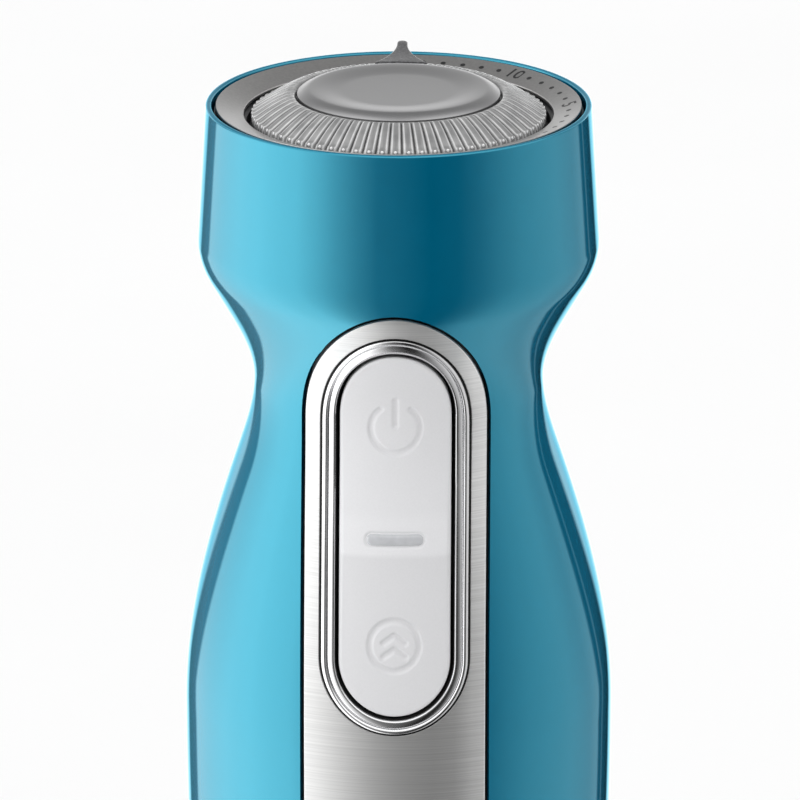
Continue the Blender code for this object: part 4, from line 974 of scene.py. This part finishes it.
def rib_end_highlights():
    """The rounded end of each rib, made as a white bead whose colour is a painted highlight."""
    reach = RIB_START + (DIAL_RADIUS - RIB_START) * BEAD_PLACE + 0.35 * RIB_HEIGHT
    drop = (SHOULDER_HEIGHT + DIAL_EDGE_DEPTH) * BEAD_PLACE**RIB_FALL
    height = RIM_Z + SHOULDER_HEIGHT - RIB_HEIGHT - drop + 0.45 * RIB_HEIGHT
    work = bmesh.new()
    for rib in range(RIBS):
        angle = 2 * pi * (rib + 0.5) / RIBS
        place = Matrix.Translation((reach * cos(angle), reach * sin(angle), height))
        bmesh.ops.create_uvsphere(work, u_segments=10, v_segments=6, radius=BEAD_RADIUS,
                                  matrix=place)
    beads = smooth(object_from(work, "beads"), 80)
    show(beads, "rib_ends", "dial", "clear_plastic", look=BEAD_HIGHLIGHT_WHITE)


def pointer():
    """Dark lug on the knob that reaches over the steel ring at the back."""
    root_y, root_half, tip_half, steps = 16.6 * MM, 4.3 * MM, 0.85 * MM, 14
    right = []
    for i in range(steps + 1):
        t = i / steps
        right.append((tip_half + (root_half - tip_half) * (1 - t)**2.2,
                      root_y + (POINTER_REACH - root_y - tip_half) * t))
    tip = [(tip_half * cos(pi / 2 * i / 5), POINTER_REACH - tip_half + tip_half * sin(pi / 2 * i / 5))
           for i in range(1, 6)]
    half = right + tip
    outline = half + [(-x, y) for x, y in reversed(half[:-1])]
    low, root_top = RIM_Z + 0.7 * MM, RIM_Z + 1.75 * MM
    rise = (RIM_Z + POINTER_TOP - root_top) / (POINTER_REACH - root_y)
    lug = loft([(x, y, low) for x, y in outline],
               [(x, y, root_top + rise * (y - root_y)) for x, y in outline])
    lug = rounded(lug, 0.3 * MM, 3)
    show(smooth(lug, 40), "dial_pointer", "dial", "clear_plastic", look=POINTER_PLASTIC)


def dial_cap():
    """Satin disc with a shallow dish and a rolled edge."""
    dish, dish_radius, rim_radius, roll = mm(0.38, 8.5, 13.7, 0.85)
    steps, sides = 14, 200
    top = RIM_Z + CAP_TOP
    rise = []
    for i in range(1, steps + 1):
        t = i / steps
        rise.append((dish_radius + (rim_radius - dish_radius) * t,
                     top - dish + dish * t * t * (3 - 2 * t)))
    fall = [(rim_radius + (CAP_RADIUS - rim_radius) * i / steps, top - roll * (i / steps)**1.7)
            for i in range(1, steps + 1)]
    profile = [(0, top - dish), (dish_radius, top - dish), *rise, *fall,
               (CAP_RADIUS, RIM_Z + CAP_BOTTOM), (0, RIM_Z + CAP_BOTTOM)]
    show(smooth(lathe(profile, sides, closed=False), 50), "dial_cap_fine", "dial", "satin_silver",
         "dial_cap")


# === wand ===
SNAP_GROOVE = mm(189, 191)  # heights of the groove that the snap ring lies in


def wave(low, high, t):
    """From low to high along half a cosine."""
    return low + (high - low) * (1 - cos(pi * t)) / 2


def wand_socket():
    """Grey end ring of the handle: the cup, its ring groove and its two keyways."""
    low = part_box("wand_socket")[0].z
    groove_low, groove_high = SNAP_GROOVE
    bore, groove, hole, roof, top = mm(19.6, 20.9, 9, 206.5, 209)
    cup, collar, collar_top, outer, outer_low = mm(22.2, 23.9, 190, 27.0, 26.7)
    seat = RIM_Z - HANDLE_LENGTH - 0.15 * MM
    profile = [(cup, top), (cup, collar_top), (collar, collar_top), (collar, seat), (outer, seat),
               (outer_low, low), (bore, low), (bore, groove_low), (groove, groove_low),
               (groove, groove_high), (bore, groove_high), (bore, roof), (hole, roof), (hole, top)]
    way, half_depth, half_width, way_top = mm(19.4, 1.4, 1.8, 187.3)
    ways = [box((side * way - half_depth, -half_width, low - 4 * MM),
                (side * way + half_depth, half_width, way_top)) for side in (-1, 1)]
    piece = combine(lathe(soften(profile, 0.3 * MM)), "DIFFERENCE", *ways)
    show(smooth(piece), "wand_socket_fine", "handle", "grey_plastic", "wand_socket")


def wand_collar():
    """Grey top of the wand: keyed spigot, flange and a hollow-curved cone down to the tube."""
    flange, flange_top, cone_end, cone_top, cone_bottom = mm(26.5, 173.85, 17.8, 169, 148)
    spigot, groove, top, bore, stop = mm(19.3, 18.6, 204, 16.35, 165.65)
    pocket, pocket_top, hole = mm(12.8, 184, 9.2)
    groove_low, groove_high = SNAP_GROOVE
    steps = 24
    cone = [(cone_end + (flange - cone_end) * (1 - i / steps)**1.8, z)
            for i, z in enumerate(evenly(cone_top, cone_bottom, steps))]
    profile = [(spigot - 0.5 * MM, top), (spigot, top - 0.6 * MM), (spigot, groove_high),
               (groove, groove_high), (groove, groove_low), (spigot, groove_low),
               (spigot, flange_top), (flange, flange_top), *cone, (bore, cone_bottom), (bore, stop),
               (pocket, stop), (pocket, pocket_top), (hole, pocket_top), (hole, top)]
    key, half_depth, half_width, key_low, key_high = mm(19.65, 0.75, 1.5, 176, 186.5)
    keys = [rounded(box((side * key - half_depth, -half_width, key_low),
                        (side * key + half_depth, half_width, key_high)), 0.25 * MM)
            for side in (-1, 1)]
    piece = combine(lathe(soften(profile, 0.3 * MM)), "UNION", *keys)
    show(smooth(piece), "wand_collar_fine", "wand", "grey_plastic", "wand_collar")


def wand_tube():
    """Polished steel tube that narrows in a soft curve."""
    top_radius, end_radius, wall = mm(16.2, 13.2, 1.0)
    top, taper_top, taper_end, bottom = mm(165.5, 146, 100, 52)
    steps = 24
    taper = [(wave(top_radius, end_radius, i / steps), z)
             for i, z in enumerate(evenly(taper_top, taper_end, steps))]
    outside = [(top_radius, top), *taper, (end_radius, bottom)]
    inside = [(radius - wall, z) for radius, z in reversed(outside)]
    show(smooth(lathe(outside + inside)), "wand_tube_fine", "wand", "steel", "wand_tube")


def guard_radius(z):
    sleeve, skirt, flare_top, flare_bottom = mm(14.6, 34, 56, 22)
    return wave(sleeve, skirt, max(0.0, min(1.0, (flare_top - z) / (flare_top - flare_bottom))))


def blade_guard():
    """Polished bell with a beaded foot and four oval windows."""
    top, wall, bead, bead_height, steps = 66 * MM, 1.2 * MM, 0.8 * MM, 2.5 * MM, 40
    bell_top, bell_bottom, bore = mm(57, 21, 13.35)
    skirt = guard_radius(0)
    heights = [top, *evenly(bell_top, bell_bottom, steps)]
    outside = [(guard_radius(z), z) for z in heights]
    foot = [(skirt, bead_height + 0.3 * MM)]
    foot += [(skirt + bead * sin(pi * i / 12), bead_height - bead_height * i / 12)
             for i in range(1, 9)]
    foot += [(skirt + 0.45 * bead, 0), (skirt - 0.8 * wall, 0), (skirt - wall, 0.3 * MM)]
    inside = [(max(guard_radius(z + 0.5 * MM) - wall, bore), z) for z in reversed(heights)]
    piece = lathe(outside + foot + inside)
    half_length, half_height, middle = mm(8, 3, 15)
    straight = half_length - half_height
    right = [(straight + half_height * sin(pi * i / 16), middle + half_height * cos(pi * i / 16))
             for i in range(17)]
    window = right + [(-x, 2 * middle - z) for x, z in right]
    for angle in (0, pi / 2):
        cutter = prism(window, -FAR, FAR)
        cutter.data.transform(Matrix.Rotation(angle, 4, "Z"))
        piece = combine(piece, "DIFFERENCE", cutter)
    show(smooth(piece, 40), "blade_guard_fine", "wand", "steel", "blade_guard")


def blade():
    """Four thin wings on a hub, two bent up and two bent down, with a curved leading edge."""
    middle, half, hub, half_hub, bore = mm(12, 0.55, 5.5, 1.5, 3.15)
    reach, twist = 18 * MM, radians(12)
    piece = rod(hub, middle - half_hub, middle + half_hub, 64)
    edge = [(reach * sin(pi / 2 * t), (-3.4 + 4.4 * t**2.5) * MM)
            for t in (0.2, 0.4, 0.6, 0.8, 0.9, 1)]
    wing = [(0, -3.5 * MM), *edge, (reach - 0.7 * MM, 3.0 * MM), (0, 3.6 * MM)]
    for turn in range(4):
        bend = radians(14 if turn % 2 else -10)
        plate = prism(wing, -half, half)
        plate.data.transform(Matrix.Rotation(-pi / 2, 4, "X"))
        plate = rounded(plate, 0.25 * MM)
        plate.data.transform(Matrix.Translation((0, 0, middle))
                             @ Matrix.Rotation(turn * pi / 2, 4, "Z")
                             @ Matrix.Translation((3.5 * MM, 0, 0)) @ Matrix.Rotation(bend, 4, "Y")
                             @ Matrix.Rotation(twist, 4, "X"))
        piece = combine(piece, "UNION", plate)
    piece = combine(piece, "DIFFERENCE", rod(bore, 0, FAR))
    show(smooth(piece), "blade_fine", "blade_drive", "steel", "blade")


# === stage, light and camera ===
def ground():
    work = bmesh.new()
    bmesh.ops.create_grid(work, x_segments=2, y_segments=2, size=60)
    piece = object_from(work, "ground")
    floor_white = material("floor_white", (0.93, 0.93, 0.93), 0.8)
    piece.data.materials.append(detail(floor_white, 3, spread=0.01))
    piece.visible_glossy = False


# light by direction round the object in degrees: 0 towards the camera, positive to its right
SIDE_LIGHT = (
    (-180, 2.1), (-160, 2.1), (-157, 0.46), (-143, 0.46), (-141, 2.2), (-107, 3.1), (-88, 3.2),
    (-60, 2.75), (-46, 2.0), (-35, 1.3), (-23, 0.7), (-11, 0.25), (20, 0.0), (36, 0.05),
    (49, 0.26), (62, 0.57), (76, 0.85), (91, 1.0), (109, 1.08), (128, 0.85), (139, 0.95),
    (141, 0.06), (145, 0.06), (146, 0.6), (147.5, 0.06), (159, 0.06), (163, 2.1), (180, 2.1),
)
# light behind the object by the height of its direction, and the span of angles that is behind
BACK_LIGHT = ((0.0, 2.0), (0.18, 1.05), (0.3, 0.7), (0.39, 0.6), (0.5, 0.5), (0.76, 0.42),
              (1.0, 0.42))
BACK_ANGLES = (118, 148)
BACK_HEIGHTS = (0.0, 0.1)
TOP_LIGHT = 1.75
TOP_HEIGHTS = (0.36, 0.62)
BACKDROP = 1.35  # what the camera sees past the ground's edge
LEAN = 1.5  # how much the flags lean inwards with height
LEAN_START = -0.29  # the height of a direction at which the lean begins
LEAN_ANGLE = 80  # the angle inside which nothing leans


def studio():
    """Soft boxes, black flags and a white ground, as light that depends on direction alone."""
    world = bpy.data.worlds.new("studio")
    bpy.context.scene.world = world
    world.use_nodes = True
    world.node_tree.nodes.clear()
    n = Nodes(world.node_tree)

    place = n.add("TexCoord")
    split = n.add("SeparateXYZ")
    n.plug(split, 0, place.outputs["Generated"])
    x, y, z = split.outputs
    angle = n.maths("DEGREES", n.maths("ARCTAN2", x, n.times(y, -1.0)))
    leaning = n.maths("MAXIMUM", n.maths("SUBTRACT", z, LEAN_START), 0.0)
    outer = n.maths("MAXIMUM", n.maths("SUBTRACT", n.maths("ABSOLUTE", angle), LEAN_ANGLE), 0.0)
    side = n.maths("SIGN", angle)
    lean = n.times(n.times(leaning, LEAN), n.times(outer, side))
    sides = n.levels(n.maths("ADD", angle, lean), SIDE_LIGHT)
    level = n.blend(n.span(z, *TOP_HEIGHTS), sides, TOP_LIGHT)
    behind = n.times(n.span(n.maths("ABSOLUTE", angle), *BACK_ANGLES),
                     n.span(z, *BACK_HEIGHTS))
    level = n.blend(behind, level, n.levels(z, BACK_LIGHT))

    path = n.add("LightPath")
    light = n.add("Background")
    n.plug(light, "Strength", n.blend(path.outputs["Is Camera Ray"], level, BACKDROP))
    output = n.add("OutputWorld")
    n.plug(output, "Surface", light.outputs[0])


def camera():
    distance, azimuth, elevation = 1.5, radians(1.25), radians(17.68)
    target = Vector((0.2 * MM, 0, RIM_Z - 48.26 * MM))
    back = Vector((cos(elevation) * sin(azimuth), -cos(elevation) * cos(azimuth), sin(elevation)))
    data = bpy.data.cameras.new("camera")
    data.sensor_width = 36
    data.lens = 432.4
    made = add_object("camera", data)
    made.location = target + back * distance
    made.rotation_euler = (-back).to_track_quat("-Z", "Y").to_euler()
    bpy.context.scene.camera = made
    bpy.context.scene.view_settings.view_transform = "Standard"


camera()
studio()
ground()
dress_cad_nodes()
housing()
cord_gland()
front_panel()
button_bezel()
# black strips as painted shade in the gaps outside and inside the bezel
shade_strip("bezel_outer_liner", WINDOW, BEZEL, -0.12 * MM, -0.7 * MM)
shade_strip("bezel_inner_liner", BEZEL_INSIDE, shrink(BEZEL_INSIDE, 0.12 * MM), -0.3 * MM, -2.4 * MM)
rocker_button()
light_bar()
scale_ring()
scale_marks()
dial_tray()
speed_dial()
rib_end_highlights()
pointer()
dial_cap()
wand_socket()
wand_collar()
wand_tube()
blade_guard()
blade()
